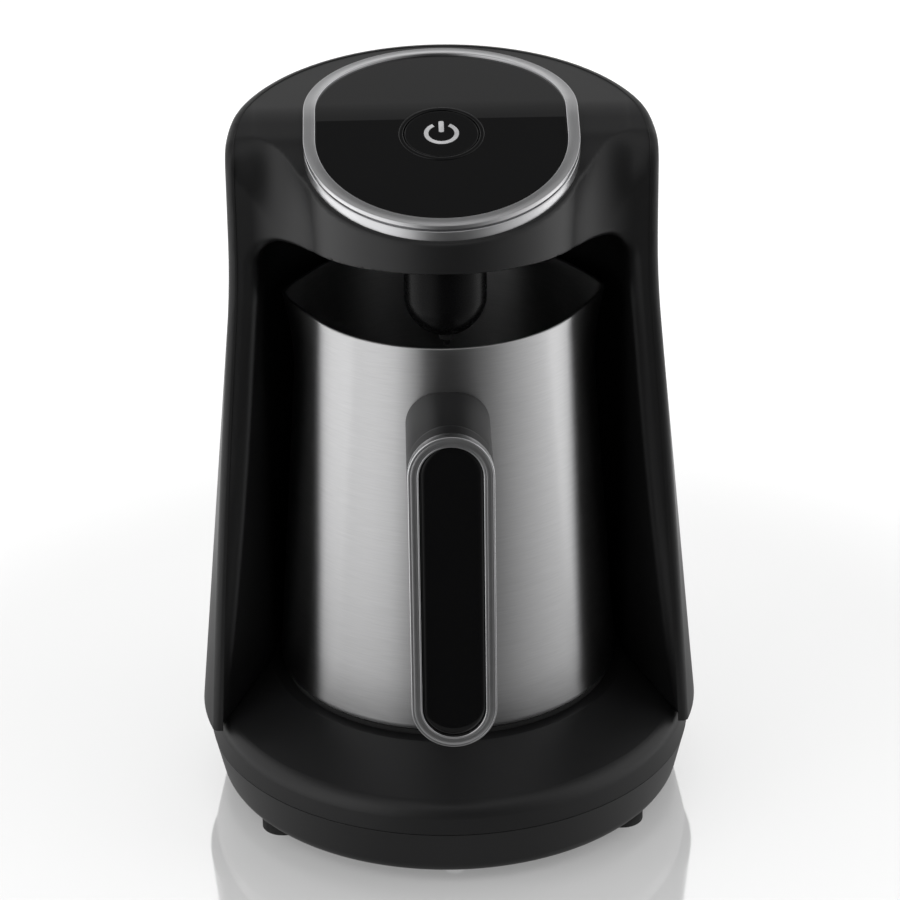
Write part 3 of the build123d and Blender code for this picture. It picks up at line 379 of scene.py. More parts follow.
# ---- The head's trim ----
HEAD_FRONT, HEAD_BACK = -4.7, 7.5          # centres of the trim's two arcs
TRIM_RADIUS = 37.1
TRIM_WIDTH = 3.3
TRIM_PROUD = 0.9
TRIM_EDGE = 0.28
TRIM_STEP, TRIM_DIP, TRIM_CROWN = 0.12, 0.05, 0.02   # how the satin face sinks beside its bevels
TRIM_FOOT = -0.2                           # underside of the ring's overhang
POCKET_DEPTH = 5.0
SKIRT_WIDTH = 1.2
SKIRT_GAP = 0.1
SKIRT_EDGE = 0.35
SKIRT_TOP = -0.8
RIDGE_Y, RIDGE_Z = 7.6, 195.3
FRONT_SLOPE, BACK_SLOPE = 0.283, 0.088
RIDGE_REACH = 4.2                          # half the length of the rounded ridge


def ridge_way(y):
    """Way over the rounded ridge: 0 on the front slope, the ridge's whole length on the back slope."""
    return np.clip(y - RIDGE_Y, -RIDGE_REACH, RIDGE_REACH) + RIDGE_REACH


def crown_height(y):
    """Height of the top surface, which has two slopes and a rounded ridge between them."""
    height = RIDGE_Z + FRONT_SLOPE * np.minimum(y - RIDGE_Y, RIDGE_REACH)
    height = height + (BACK_SLOPE - FRONT_SLOPE) * ridge_way(y)**2 / (4 * RIDGE_REACH)
    return height + BACK_SLOPE * np.maximum(y - RIDGE_Y - RIDGE_REACH, 0)


def crown_point(x, y, lift):
    """Point over the place (x, y), at that distance from the top surface."""
    slope = FRONT_SLOPE + (BACK_SLOPE - FRONT_SLOPE) * ridge_way(y) / (2 * RIDGE_REACH)
    return (x, y, crown_height(y) + lift * math.sqrt(1 + slope**2))


def head_band(name, profile, slot, replaced):
    """A closed band round the head: the profile holds (inset from the trim's rim, lift) pairs."""
    half = (HEAD_BACK - HEAD_FRONT) / 2
    middle = (HEAD_BACK + HEAD_FRONT) / 2
    path = slot_path(half, per_arc=96, per_side=8)
    points = []
    for inset, lift in profile:
        radius = TRIM_RADIUS - inset
        for dx, dy, centre in path:
            points.append(crown_point(radius * dx, middle + centre + radius * dy, lift))
    faces = grid_faces(len(profile), len(path), close_rows=True)
    return make_piece(name, points, faces, slot, "machine", replaced)


def make_trim_ring():
    """Satin band with a thin bright bevel along both of its edges."""
    edge = TRIM_EDGE
    inner = TRIM_WIDTH
    leg = SKIRT_WIDTH + SKIRT_GAP
    outer_bevel = arc((edge, TRIM_PROUD - edge), edge, 180, 90, 4)
    inner_bevel = arc((inner - edge, TRIM_PROUD - edge), edge, 90, 0, 4)
    face = [
        (edge + TRIM_STEP, TRIM_PROUD - TRIM_DIP),
        (inner / 2, TRIM_PROUD - TRIM_CROWN),
        (inner - edge - TRIM_STEP, TRIM_PROUD - TRIM_DIP),
    ]
    low = [(inner, -POCKET_DEPTH), (leg, -POCKET_DEPTH), (leg, TRIM_FOOT)]
    low += [(TRIM_STEP, TRIM_FOOT), (0.0, TRIM_FOOT + TRIM_STEP)]
    head_band("trim_band", outer_bevel + face + inner_bevel + low, "chrome", ["trim_ring"])


def make_trim_skirt():
    """Second bright band, its upper edge rounded."""
    edge = SKIRT_EDGE
    top = arc((edge, SKIRT_TOP - edge), edge, 180, 90, 4)
    rest = [(SKIRT_WIDTH, SKIRT_TOP), (SKIRT_WIDTH, -POCKET_DEPTH), (0.0, -POCKET_DEPTH)]
    head_band("trim_lower_band", top + rest, "chrome", ["trim_skirt"])


# ---- The handle's face ----
GRIP_TOP = Vector((0, -77.43, 138.6))
GRIP_BOTTOM = Vector((0, -83.62, 50.2))
GRIP_WIDTH = 22.6
GRIP_TRIM = 2.9
GRIP_TRIM_DEPTH = 3.0
GRIP_BEAD, GRIP_BEAD_DROP = 0.26, 0.05
GRIP_CROWN = ((0.52, -0.17), (0.8, -0.06), (1.15, -0.01), (1.45, 0.0), (1.75, -0.01), (2.1, -0.06),
              (2.38, -0.17))               # (inset, height) of the satin face between the beads
INLAY_DROP = 0.7
INLAY_GAP = 0.05
INLAY_ROLL, INLAY_CROWN = 0.75, 0.35       # how far the inlay falls towards its rim


def grip_loop(profile, per_arc=64):
    """Rows of points round the handle's face from (inset, height over the face) pairs."""
    middle = (GRIP_TOP + GRIP_BOTTOM) / 2
    up = (GRIP_TOP - GRIP_BOTTOM).normalized()
    out = Vector((1, 0, 0)).cross(up)
    half = (GRIP_TOP - GRIP_BOTTOM).length / 2 - GRIP_WIDTH / 2
    path = slot_path(half, per_arc, per_side=24)
    points = []
    for inset, height in profile:
        radius = GRIP_WIDTH / 2 - inset
        for dx, dy, centre in path:
            across = Vector((radius * dx, 0, 0))
            points.append(middle + across + up * (centre + radius * dy) + out * height)
    return points, len(path)


def make_handle_trim():
    """Bright frame: a crowned satin face between two narrow polished beads."""
    bead = GRIP_BEAD
    outer = arc((bead, -bead - GRIP_BEAD_DROP), bead, 180, 60, 4)
    inner = arc((GRIP_TRIM - bead, -bead - GRIP_BEAD_DROP), bead, 120, 0, 4)
    low = [(GRIP_TRIM, -GRIP_TRIM_DEPTH), (0.0, -GRIP_TRIM_DEPTH)]
    profile = [*outer, *GRIP_CROWN, *inner, *low]
    points, columns = grip_loop(profile)
    faces = grid_faces(len(profile), columns, close_rows=True)
    make_piece("handle_frame", points, faces, "chrome", "pot", ["handle_trim"], sharp=60)


def make_handle_inlay():
    """Glossy face of the handle, slightly crowned, rolling down into the frame."""
    rim = GRIP_TRIM + INLAY_GAP
    width = GRIP_WIDTH / 2 - rim
    nearly = 0.999                         # the last row stops short of the middle line
    steps = 14
    profile = [(rim, -GRIP_TRIM_DEPTH)]
    for i in range(steps + 1):
        inward = i / steps
        fall = INLAY_ROLL * (1 - inward) ** 5 + INLAY_CROWN * (1 - inward) ** 2
        inset = rim + width * (1 - math.cos(inward * math.pi / 2)) * nearly
        profile.append((inset, -INLAY_DROP - fall))
    points, columns = grip_loop(profile)
    faces = capped_faces(len(profile), columns)
    make_piece("handle_face", points, faces, "gloss_black", "pot", ["handle_inlay"], sharp=60)


# ---- The pot ----
POT_FOOT_Z = 33.3
POT_RIM_Z = 146.2
POT_FOOT_R, POT_RIM_R = 47.8, 39.9
POT_WALL = 1.0
POT_CORNER = 2.2
WALL_STEPS, NECK_STEPS = 6, 12
NECK_Z = 122.2                             # the lips flare from here up
LIP_REACH = 4.4
LIP_FLARE = 1.7                            # power of the height in the flare
LIP_ANGLE = math.radians(30.0)
RIM_DIP, DIP_START = 3.9, -5.0


def pot_radius(z):
    return POT_FOOT_R + (POT_RIM_R - POT_FOOT_R) * (z - POT_FOOT_Z) / (POT_RIM_Z - POT_FOOT_Z)


def lip_out(turn):
    """Share of the lip's reach in a direction: 1 at the tip, 0 beside the lip."""
    side = math.remainder(turn, math.pi)
    tip_cosine = POT_RIM_R / (POT_RIM_R + LIP_REACH)
    blunt = LIP_ANGLE - math.acos(tip_cosine)
    off = math.sqrt(side**2 + blunt**2)
    if off >= LIP_ANGLE:
        return 0.0
    return (1 / math.cos(LIP_ANGLE - off) - 1) / (1 / tip_cosine - 1)


def rim_height(y):
    """The rim is level at the front and dips towards the back."""
    past = max(0.0, y - DIP_START) / (POT_RIM_R - DIP_START)
    return POT_RIM_Z - RIM_DIP * past**2


def pot_column(turn):
    """Closed half outline of the wall in one direction, as (radius, height) pairs."""
    lip = LIP_REACH * lip_out(turn)
    top = rim_height(POT_RIM_R * math.sin(turn))

    def wall(z, inset):
        share = max(0.0, (z - NECK_Z) / (POT_RIM_Z - NECK_Z))
        return pot_radius(z) + lip * share**LIP_FLARE - inset

    half = POT_WALL / 2
    low = POT_FOOT_Z + POT_CORNER
    heights = [low + i * (NECK_Z - POT_FOOT_Z - POT_CORNER) / WALL_STEPS for i in range(WALL_STEPS + 1)]
    heights += [NECK_Z + (top - half - NECK_Z) * i / NECK_STEPS for i in range(1, NECK_STEPS + 1)]
    corner_r = wall(heights[0], POT_CORNER)
    column = arc((corner_r, heights[0]), POT_CORNER, -90, 0, 6)
    column += [(wall(z, 0), z) for z in heights[1:]]
    brim = (wall(top - half, half), top - half)
    column += arc(brim, half, 0, 180, 8)[1:-1]
    column += [(wall(z, POT_WALL), z) for z in reversed(heights[1:])]
    inner = POT_CORNER - POT_WALL
    column += arc((corner_r, heights[0]), inner, 0, -90, 4)
    return column


def make_pot():
    columns = 240
    turns = [2 * math.pi * (j + 0.5) / columns for j in range(columns)]
    lines = [pot_column(turn) for turn in turns]
    rows = len(lines[0])
    points = []
    for i in range(rows):
        for turn, line in zip(turns, lines):
            radius, z = line[i]
            points.append((radius * math.cos(turn), radius * math.sin(turn), z))
    make_piece("pot_steel", points, capped_faces(rows, columns), "brushed_pot", "pot", ["pot_body"])


# ---- The key's ring ----
KEY_Y = -2.8
KEY_RADIUS = 10.25
KEY_RING = 1.3
KEY_RING_EDGE = 0.3
KEY_RING_SHOULDER, KEY_RING_BEND = 0.18, 0.15   # heights over the panel of the wall and of the rounding
KEY_RING_SINK = 2.0


def panel_point(radius, turn, height):
    """Point on the panel's front slope, in polar form round the key."""
    tilt = math.atan(FRONT_SLOPE)
    x, y = radius * math.cos(turn), radius * math.sin(turn)
    origin = Vector(crown_point(0, KEY_Y, 0))
    return origin + Matrix.Rotation(tilt, 3, "X") @ Vector((x, y, height))


def make_key_ring():
    """Rounded black ring round the power key."""
    outer = KEY_RADIUS + KEY_RING
    edge = KEY_RING_EDGE
    profile = [(outer, -KEY_RING_SINK), (outer, KEY_RING_SHOULDER)]
    profile += arc((outer - edge, KEY_RING_BEND), edge, 0, 90, 5)
    profile += arc((KEY_RADIUS + edge, KEY_RING_BEND), edge, 90, 180, 5)
    profile += [(KEY_RADIUS, -KEY_RING_SINK)]
    columns = 128
    points = []
    for radius, height in profile:
        points += [panel_point(radius, 2 * math.pi * j / columns, height) for j in range(columns)]
    faces = grid_faces(len(profile), columns, close_rows=True)
    make_piece("key_ring", points, faces, "gloss_black", "machine", ["button_bezel"], sharp=60)


# ---- The casing's skin ----
# The casing is drawn as the zero of a distance: negative inside its moulded wall.
TOWER_Y = -7.6
TOWER_TOP_R, TOWER_KNEE_Z, TOWER_SLOPE, TOWER_BEND = 58.0, 152.0, 0.0943, 12.2
WING_TOP_Y, WING_KNEE_Z, WING_SLOPE, WING_BEND = -9.4, 160.0, 0.1487, 16.3
SEAM_INSET = 1.3                           # the skin ends under the shell's wall
SEAM_SINK = 0.15                           # and lies that much lower than the shell
ROLL_AT_RIM, ROLL_INSIDE, ROLL_REACH = 8.0, 20.0, 13.0
VALLEY = 13.0                              # fillet between the head and the front faces
HEAD_RADIUS = 38.6
HEAD_TOP_STEP = 3.1
CEILING_Y, CEILING_Z, CEILING_SLOPE = -43.3, 168.7, 0.108
BAY_R, BAY_WIDENING, BAY_TOP_Y = 49.3, 0.2, -6.0
BAY_LOW_FLARE, BAY_TOP_FLARE = 0.52, 0.30
FLARE_BEND = 11.0                          # length of the bend where the flare starts, by its slope
SEAT_Z, SEAT_R = 31.8, 50.0
SHOULDER_Z, SHOULDER_R = 25.6, 67.0
SLOPE_SHARE = 0.4                          # distance to the base's slope by the level way to it
ARCH_ROUNDING = 7.0
MOUTH_ROUNDING = 3.0                       # edge between the front faces and the bay
HEAD_EDGE = 0.6                            # edge under the head's wall
TOP_EDGE = 0.8                             # edge round the top of the head's wall
STEP_REACH = 9.0                           # the head's top sinks that far outside the front faces
WALL = 2.2
GAP = 0.2
OPENING_R = 30.0
POCKET_INSET = 1.8                         # the trim stands that deep in the skin
DOME_Y, DOME_R = -30.4, 11.0
DOME_HIGH, DOME_MIDDLE, DOME_LOW = 172.0, 158.2, 147.0
DOME_BAND = 2.0                            # upright band over the dome's round end
DOME_TIP = 0.2
# Start, end and step of the grid that the skin is taken from; it is fine at the seat and at the head.
SKIN_ACROSS = (-69.0, 69.5, 1.0)
SKIN_DEPTH = (-45.2, 54.0, 0.95)
SKIN_HEIGHTS = ((24.3, 34.0, 0.8), (34.5, 148.0, 2.4), (148.5, 201.0, 0.85))
SKIN_PULLS, SKIN_PULL = 4, 0.4             # moves onto the exact surface, and the longest of them
SLOPE_STEP, NORMAL_STEP = 0.03, 0.25       # how far apart the distance is read for a slope


def eased(past, bend):
    """0 below -bend, the value itself over bend, and a smooth bend between."""
    middle = (past + bend) ** 2 / (4 * bend)
    return np.where(past < -bend, 0.0, np.where(past > bend, past, middle))


def rounded_cut(a, b, radius):
    """What lies inside both, the edge where they meet rounded."""
    round_edge = np.hypot(np.maximum(a + radius, 0), np.maximum(b + radius, 0))
    return np.minimum(np.maximum(a, b), -radius) + round_edge


def oval_cut(a, b, reach_a, reach_b):
    """Like rounded_cut, the rounding reaching unequally far along the two surfaces."""
    over_a, over_b = np.maximum(a / reach_a + 1, 0), np.maximum(b / reach_b + 1, 0)
    length = np.hypot(over_a, over_b)
    scale = (reach_a * over_a**2 + reach_b * over_b**2) / np.maximum(length**2, 1e-9)
    return np.where(length > 0, (length - 1) * scale, np.maximum(a, b))


def soft_join(a, b, radius):
    """What lies inside either, with a fillet where they meet."""
    return -rounded_cut(-a, -b, radius)


def bay_distance(x, y, z, ceiling):
    """Distance to the bay: a round back that flares to the front, under an arched ceiling."""
    share = (z - SEAT_Z) / (CEILING_Z - SEAT_Z)
    radius = BAY_R + share * BAY_WIDENING
    forward = share * BAY_TOP_Y - y
    flare = BAY_LOW_FLARE + share * (BAY_TOP_FLARE - BAY_LOW_FLARE)
    side = np.hypot(x, np.minimum(forward, 0)) - radius - flare * eased(forward, FLARE_BEND * flare)
    side = side / np.sqrt(1 + flare**2)
    return rounded_cut(side, -ceiling, ARCH_ROUNDING)


def casing_distance(place):
    """Distance to the casing's surface, negative inside its wall."""
    x, y, z = place
    tower_wall = TOWER_TOP_R + TOWER_SLOPE * eased(TOWER_KNEE_Z - z, TOWER_BEND)
    rim = np.hypot(x, y - TOWER_Y) - tower_wall + SEAM_INSET
    crown = (z - crown_height(y)) / math.hypot(1, FRONT_SLOPE) + SEAM_SINK
    front = WING_TOP_Y - WING_SLOPE * eased(WING_KNEE_Z - z, WING_BEND) - y + SEAM_SINK
    inward = np.clip(-rim / ROLL_REACH, 0, 1)
    roll = ROLL_AT_RIM + (ROLL_INSIDE - ROLL_AT_RIM) * inward**2 * (3 - 2 * inward)
    body = oval_cut(crown, front, roll, ROLL_AT_RIM)
    head_wall = np.hypot(x, y - np.clip(y, HEAD_FRONT, HEAD_BACK)) - HEAD_RADIUS
    ceiling = CEILING_Z - CEILING_SLOPE * (y - CEILING_Y) - z
    head = rounded_cut(head_wall, ceiling, HEAD_EDGE)
    outside = np.clip(body / STEP_REACH, 0, 1)
    sunk = HEAD_TOP_STEP * outside**2 * (3 - 2 * outside)
    form = rounded_cut(soft_join(body, head, VALLEY), crown + sunk, TOP_EDGE * outside)
    bay = bay_distance(x, y, z, ceiling)
    mouth = HEAD_EDGE + (MOUTH_ROUNDING - HEAD_EDGE) * (1 - outside)
    skin = rounded_cut(form, -bay, mouth)
    skin = np.maximum(skin, -np.maximum(form + WALL, WALL - bay))
    share = np.clip((z - SHOULDER_Z) / (SEAT_Z - SHOULDER_Z), 0, 1)
    slope_r = SHOULDER_R + share * (SEAT_R - SHOULDER_R)
    slope = np.hypot(x, y - TOWER_Y * (1 - share)) - slope_r
    base = np.maximum(SLOPE_SHARE * slope, z - SEAT_Z)
    pocket = np.maximum(head_wall + HEAD_RADIUS - TRIM_RADIUS + POCKET_INSET, -crown - POCKET_DEPTH)
    opening = np.maximum(head_wall + HEAD_RADIUS - OPENING_R, CEILING_Z - z)
    sensor = np.maximum(np.hypot(x, y - DOME_Y) - DOME_R - GAP, -ceiling - 2 * WALL)
    for hole in (base - GAP, pocket, opening, sensor):
        skin = np.maximum(skin, -hole)
    return np.maximum(skin, np.maximum(rim, SHOULDER_Z + GAP - z))


def slope_at(distance, points, step):
    """Gradient of a distance at points given as three rows."""
    rows = []
    for shift in np.eye(3)[:, :, None] * step:
        rows.append((distance(points + shift) - distance(points - shift)) / (2 * step))
    return np.array(rows)


def surface_net(distance, axes):
    """Points and quads of the surface where the distance is zero, on a grid of those axes."""
    grid = np.meshgrid(*axes, indexing="ij")
    field = distance(grid)
    inside = field < 0
    cells = [len(axis) - 1 for axis in axes]
    total, count = np.zeros([3, *cells]), np.zeros(cells)
    crossings = []
    for axis in range(3):
        low = tuple(slice(None, -1) if i == axis else slice(None) for i in range(3))
        high = tuple(slice(1, None) if i == axis else slice(None) for i in range(3))
        crossing = inside[low] != inside[high]
        crossings.append(crossing)
        share = np.where(crossing, field[low] / np.where(crossing, field[low] - field[high], 1), 0)
        point = [np.where(crossing, g[low] + share * (g[high] - g[low]), 0) for g in grid]
        u, v = (axis + 1) % 3, (axis + 2) % 3
        for du in (0, 1):
            for dv in (0, 1):
                part = [slice(None)] * 3
                part[u], part[v] = slice(du, du + cells[u]), slice(dv, dv + cells[v])
                part = tuple(part)
                count += crossing[part]
                total += np.array([row[part] for row in point])
    used = count > 0
    number = np.cumsum(used).reshape(used.shape) - 1
    points = total[:, used] / count[used]
    quads = []
    for axis, crossing in enumerate(crossings):
        u, v = (axis + 1) % 3, (axis + 2) % 3
        edges = np.argwhere(crossing)
        inner_u = (edges[:, u] > 0) & (edges[:, u] < cells[u])
        inner_v = (edges[:, v] > 0) & (edges[:, v] < cells[v])
        edges = edges[inner_u & inner_v]
        corners = []
        for du, dv in ((-1, -1), (0, -1), (0, 0), (-1, 0)):
            cell = edges.copy()
            cell[:, u] += du
            cell[:, v] += dv
            corners.append(number[tuple(cell.T)])
        faces = np.stack(corners, 1)
        outward = inside[tuple(edges.T)]
        faces[~outward] = faces[~outward][:, ::-1]
        quads.append(faces)
    return points, np.concatenate(quads)


def make_sensor_dome():
    """Round black housing of the foam sensor, its lower end a flattened dome."""
    columns, steps = 96, 18
    drop = DOME_MIDDLE - DOME_LOW
    profile = [(DOME_TIP, DOME_HIGH), (DOME_R, DOME_HIGH), (DOME_R, DOME_MIDDLE + DOME_BAND)]
    for i in range(steps):
        turn = math.pi / 2 * i / steps
        profile.append((DOME_R * math.cos(turn), DOME_MIDDLE - drop * math.sin(turn)))
    profile.append((DOME_TIP, DOME_LOW))
    turns = [2 * math.pi * j / columns for j in range(columns)]
    points = [(-r * math.cos(t), DOME_Y + r * math.sin(t), z) for r, z in profile for t in turns]
    faces = capped_faces(len(profile), columns)
    replaced = ["sensor_housing"]
    finish = "sensor_black"
    make_piece("sensor_dome", points, faces, "gloss_black", "machine", replaced, sharp=60, finish=finish)


def make_casing_skin():
    """Top, head wall, front faces and lining as one soft moulding."""
    height = np.concatenate([np.arange(*span) for span in SKIN_HEIGHTS])
    grid = (np.arange(*SKIN_ACROSS), np.arange(*SKIN_DEPTH), height)
    points, quads = surface_net(casing_distance, grid)
    for _ in range(SKIN_PULLS):
        slope = slope_at(casing_distance, points, SLOPE_STEP)
        move = casing_distance(points) * slope / np.maximum((slope**2).sum(0), 0.1)
        length = np.maximum(np.linalg.norm(move, axis=0), 0.001)
        points = points - move * np.minimum(1, SKIN_PULL / length)
    normals = slope_at(casing_distance, points, NORMAL_STEP)
    normals /= np.maximum(np.linalg.norm(normals, axis=0), 0.001)
    faces, replaced = quads.tolist(), ["front_casing"]
    skin = make_piece("casing_skin", points.T, faces, "satin_casing", "machine", replaced, sharp=180)
    skin.data.normals_split_custom_set_from_vertices(normals.T.tolist())


for part in frame["record"]["subparts"]:
    node = NODES[part["node"]]
    node.data.materials.clear()
    node.data.materials.append(FINISHES[part["material_slot"]])

make_trim_ring()
make_trim_skirt()
make_handle_trim()
make_handle_inlay()
make_pot()
make_key_ring()
make_sensor_dome()
make_casing_skin()


# ---- Studio ----
# Sizes and places are in metres here, directions in degrees from the front.
CAMERA_LENS, CAMERA_SENSOR = 149.42, 36.0  # both in millimetres
CAMERA_PLACE = (-0.016699, -0.93585, 0.560165)
CAMERA_YAW, CAMERA_PITCH, CAMERA_ROLL = -1.1, 63.657, -0.72
# Brightness of the front card by direction: a dark room with pale sides, no paler than the
# white background, which is open beyond the card.
FRONT_CARD = ((-72, 1.0), (-62, 1.0), (-52, 1.0), (-38, 0.9), (-24, 0.45), (-13, 0.05), (12, 0.05),
              (22, 0.1), (34, 0.22), (48, 0.42), (62, 0.6), (76, 0.8), (84, 0.95))
CARD_NEAR, CARD_MIDDLE, CARD_FAR, CARD_TOP = 0.17, 0.6, 2.0, 2.3
CARD_LIFT = 0.001                          # over the table
CARD_COLUMNS = 48
# The card that lies on the table round the base is dim all along.
TABLE_CARD = ((-170, 0.55), (-100, 0.42), (-60, 0.42), (-20, 0.26), (20, 0.26), (60, 0.42), (100, 0.42),
              (170, 0.55))
TABLE_NEAR = 0.062
# The card overhead is darkest behind the object.
OVERHEAD = ((-180, 0.14), (-140, 0.14), (-85, 0.40), (0, 0.48), (85, 0.40), (140, 0.14), (180, 0.14))
# A dim card behind shows in the back of the panel, the ring and the crown. It hangs over what the
# table mirrors.
REAR_Y, REAR_HALF, REAR_LOW, REAR_HIGH = 0.6, 0.28, 0.49, 0.95
REAR_CARD = ((-180, 0.36), (180, 0.36))
ROOM_LEVEL = 0.72                          # even light of the room on matte surfaces
# Direction, rise, distance, width, height and brightness of the soft lamps.
LAMPS = {
    "left_box": (-62, 30, 1.3, 0.9, 1.2, 1.6),
    "right_box": (80, 30, 1.3, 0.9, 1.2, 1.1),
    "top_box": (180, 70, 1.3, 1.2, 1.0, 0.9),
}
LAMP_TARGET = (0, 0, 0.1)
FLOOR_HALF = 3.0
FLOOR_TONE, FLOOR_LIFT = 0.8, 0.45         # colour of the floor, and what lifts it to white in view
POLISH_ROUGHNESS = 0.06
POLISH_FULL, POLISH_END = 0.15, 0.28       # the polish fades out between these distances
POLISH_GRAZING, POLISH_SHARE = 0.6, 0.66   # and from its full share towards a view from above


def make_camera():
    """Camera at the angle of the photograph."""
    data = bpy.data.cameras.new("camera")
    data.lens = CAMERA_LENS
    data.sensor_width = CAMERA_SENSOR
    camera = bpy.data.objects.new("camera", data)
    place = Matrix.Translation(CAMERA_PLACE)
    yaw = Matrix.Rotation(math.radians(CAMERA_YAW), 4, "Z")
    pitch = Matrix.Rotation(math.radians(CAMERA_PITCH), 4, "X")
    roll = Matrix.Rotation(math.radians(CAMERA_ROLL), 4, "Z")
    camera.matrix_world = place @ yaw @ pitch @ roll
    bpy.context.scene.collection.objects.link(camera)
    bpy.context.scene.camera = camera


def softbox(name, turn, rise, away, width, height, level):
    """Soft lamp in a direction, of that brightness; only matte surfaces see it."""
    data = bpy.data.lights.new(name, "AREA")
    data.shape = "RECTANGLE"
    data.size = width
    data.size_y = height
    data.energy = level * math.pi * width * height
    lamp = bpy.data.objects.new(name, data)
    turn, rise = math.radians(turn), math.radians(rise)
    flat = math.cos(rise)
    direction = Vector((flat * math.sin(turn), -flat * math.cos(turn), math.sin(rise)))
    lamp.location = Vector(LAMP_TARGET) + away * direction
    lamp.rotation_euler = (-direction).to_track_quat("-Z", "Y").to_euler()
    lamp.visible_glossy = False
    bpy.context.scene.collection.objects.link(lamp)


def seen_directly(n):
    """1 for the rays that show the background itself: to the camera, in gloss and through glass."""
    path = n.add("ShaderNodeLightPath")
    shown = n.math("ADD", path.outputs["Is Camera Ray"], path.outputs["Is Transmission Ray"])
    return n.math("ADD", shown, path.outputs["Is Glossy Ray"], clamp=True)


def make_world():
    """White background, and an even light on matte surfaces."""
    world = bpy.data.worlds.new("studio")
    world.use_nodes = True
    world.cycles.sampling_method = "NONE"
    n = Wiring(world.node_tree)
    n.tree.nodes.clear()
    glow = n.add("ShaderNodeBackground")
    n.join(n.blend(seen_directly(n), ROOM_LEVEL, 1.0), glow.inputs["Strength"])
    out = n.add("ShaderNodeOutputWorld")
    n.join(glow.outputs["Background"], out.inputs["Surface"])
    bpy.context.scene.world = world


def make_card(name, points, faces, level_by_turn):
    """A one-sided studio card that only shows in gloss; (angle, level) pairs give its brightness."""
    mesh = bpy.data.meshes.new(name)
    mesh.from_pydata(points, [], faces)
    card = bpy.data.objects.new(name, mesh)
    bpy.context.scene.collection.objects.link(card)
    for kind in ("visible_camera", "visible_diffuse", "visible_transmission", "visible_shadow"):
        setattr(card, kind, False)
    material = bpy.data.materials.new(name)
    material.use_nodes = True
    n = Wiring(material.node_tree)
    n.tree.nodes.clear()
    x, y, _ = n.parts(n.add("ShaderNodeTexCoord").outputs["Object"])
    turn = n.math("ARCTAN2", x, n.math("MULTIPLY", y, -1.0))
    ramp = n.add("ShaderNodeValToRGB")
    stops = ramp.color_ramp.elements
    while len(stops) < len(level_by_turn):
        stops.new(0.5)
    for stop, (angle, level) in zip(stops, level_by_turn):
        stop.position = angle / 360 + 0.5
        stop.color = (level, level, level, 1.0)
    n.join(n.math("ADD", n.math("DIVIDE", turn, 2 * math.pi), 0.5), ramp.inputs["Fac"])
    glow = n.add("ShaderNodeEmission")
    n.join(ramp.outputs["Color"], glow.inputs["Strength"])
    back = n.add("ShaderNodeNewGeometry").outputs["Backfacing"]
    clear = n.add("ShaderNodeBsdfTransparent")
    out = n.add("ShaderNodeOutputMaterial")
    n.join(n.mix_shaders(back, glow.outputs["Emission"], clear.outputs["BSDF"]), out.inputs["Surface"])
    mesh.materials.append(material)


def make_round_card(name, rows, level_by_turn):
    """A card swept round the upright axis through (radius, height) pairs, over its ramp's angles."""
    first, last = level_by_turn[0][0], level_by_turn[-1][0]
    turns = [math.radians(first + (last - first) * j / CARD_COLUMNS) for j in range(CARD_COLUMNS + 1)]
    points = [(r * math.sin(t), -r * math.cos(t), z) for r, z in rows for t in turns]
    wide = CARD_COLUMNS + 1
    faces = [(i * wide + j, (i + 1) * wide + j, (i + 1) * wide + j + 1, i * wide + j + 1)
             for i in range(len(rows) - 1) for j in range(CARD_COLUMNS)]
    make_card(name, points, faces, level_by_turn)


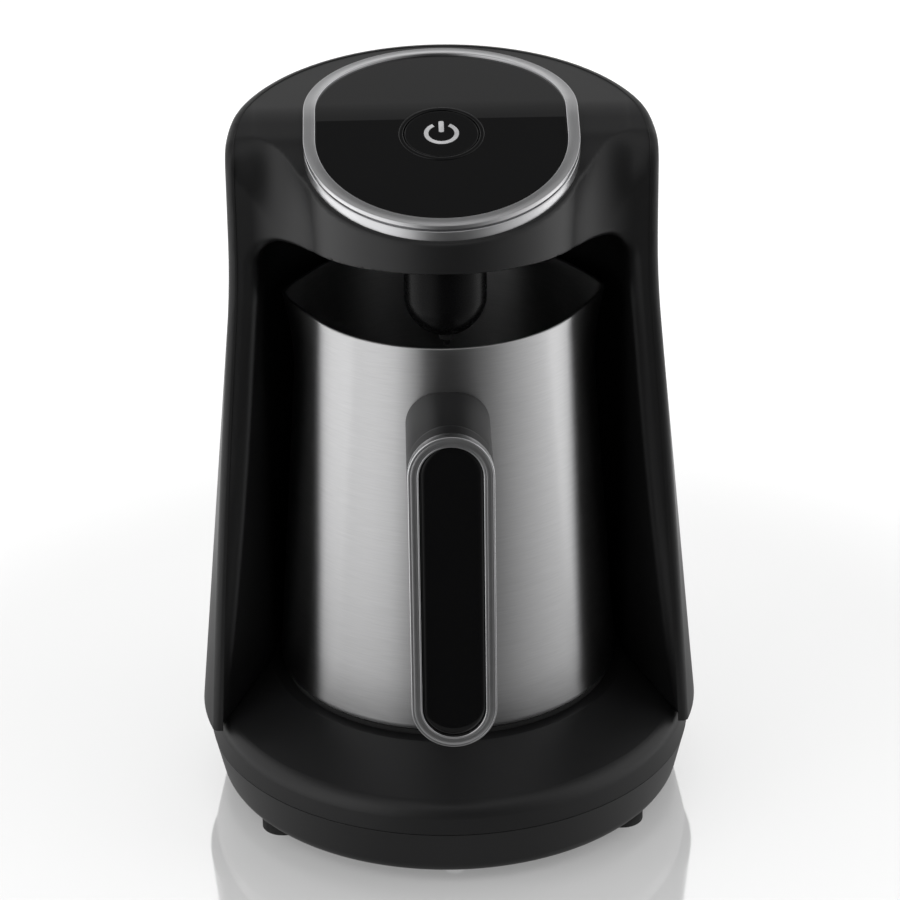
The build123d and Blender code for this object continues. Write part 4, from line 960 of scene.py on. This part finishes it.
def make_cards():
    """The darker parts of the room: cards on the table and up the front, one overhead, one behind."""
    low = CARD_LIFT
    make_round_card("table_card", ((TABLE_NEAR, low), (CARD_NEAR, low)), TABLE_CARD)
    flat = ((CARD_NEAR, low), (CARD_MIDDLE, low), (CARD_FAR, low))
    upright = ((CARD_FAR, CARD_TOP / 2), (CARD_FAR, CARD_TOP))
    make_round_card("front_card", flat + upright, FRONT_CARD)
    rim = [math.radians(360 * j / CARD_COLUMNS) for j in range(CARD_COLUMNS)]
    top = [(CARD_FAR * math.sin(t), -CARD_FAR * math.cos(t), CARD_TOP) for t in rim]
    make_card("overhead_card", top, [tuple(reversed(range(CARD_COLUMNS)))], OVERHEAD)
    half = REAR_HALF
    corners = ((-half, REAR_LOW), (half, REAR_LOW), (half, REAR_HIGH), (-half, REAR_HIGH))
    make_card("rear_card", [(x, REAR_Y, z) for x, z in corners], [(0, 1, 2, 3)], REAR_CARD)


def make_floor():
    """Pale polished tabletop that keeps the object's shadow and a soft reflection of it."""
    half = FLOOR_HALF
    mesh = bpy.data.meshes.new("floor")
    corners = [(-half, -half, 0), (half, -half, 0), (half, half, 0), (-half, half, 0)]
    mesh.from_pydata(corners, [], [(0, 1, 2, 3)])
    floor = bpy.data.objects.new("floor", mesh)
    bpy.context.scene.collection.objects.link(floor)
    material = bpy.data.materials.new("floor")
    material.use_nodes = True
    n = Wiring(material.node_tree)
    n.tree.nodes.clear()
    matte = n.add("ShaderNodeBsdfDiffuse")
    matte.inputs["Color"].default_value = (FLOOR_TONE, FLOOR_TONE, FLOOR_TONE, 1.0)
    lift = n.add("ShaderNodeEmission")
    lift.inputs["Strength"].default_value = FLOOR_LIFT
    lit = n.add("ShaderNodeAddShader")
    n.join(matte.outputs["BSDF"], lit.inputs[0])
    n.join(lift.outputs["Emission"], lit.inputs[1])
    polish = n.add("ShaderNodeBsdfGlossy")
    polish.inputs["Color"].default_value = (1.0, 1.0, 1.0, 1.0)
    polish.inputs["Roughness"].default_value = POLISH_ROUGHNESS
    x, y, _ = n.parts(n.add("ShaderNodeNewGeometry").outputs["Position"])
    near_share = n.ranged(n.distance(x, y), POLISH_FULL, POLISH_END, 1.0, 0.0, smooth=True)
    facing = n.add("ShaderNodeLayerWeight").outputs["Facing"]
    grazing_share = n.ranged(facing, 0.0, POLISH_GRAZING, 0.0, POLISH_SHARE)
    share = n.math("MULTIPLY", near_share, grazing_share)
    shown = n.mix_shaders(share, lit.outputs["Shader"], polish.outputs["BSDF"])
    out = n.add("ShaderNodeOutputMaterial")
    n.join(n.mix_shaders(seen_directly(n), matte.outputs["BSDF"], shown), out.inputs["Surface"])
    mesh.materials.append(material)


make_camera()
make_world()
make_cards()
make_floor()
for name, setting in LAMPS.items():
    softbox(name, *setting)

bpy.context.scene.view_settings.view_transform = "Standard"
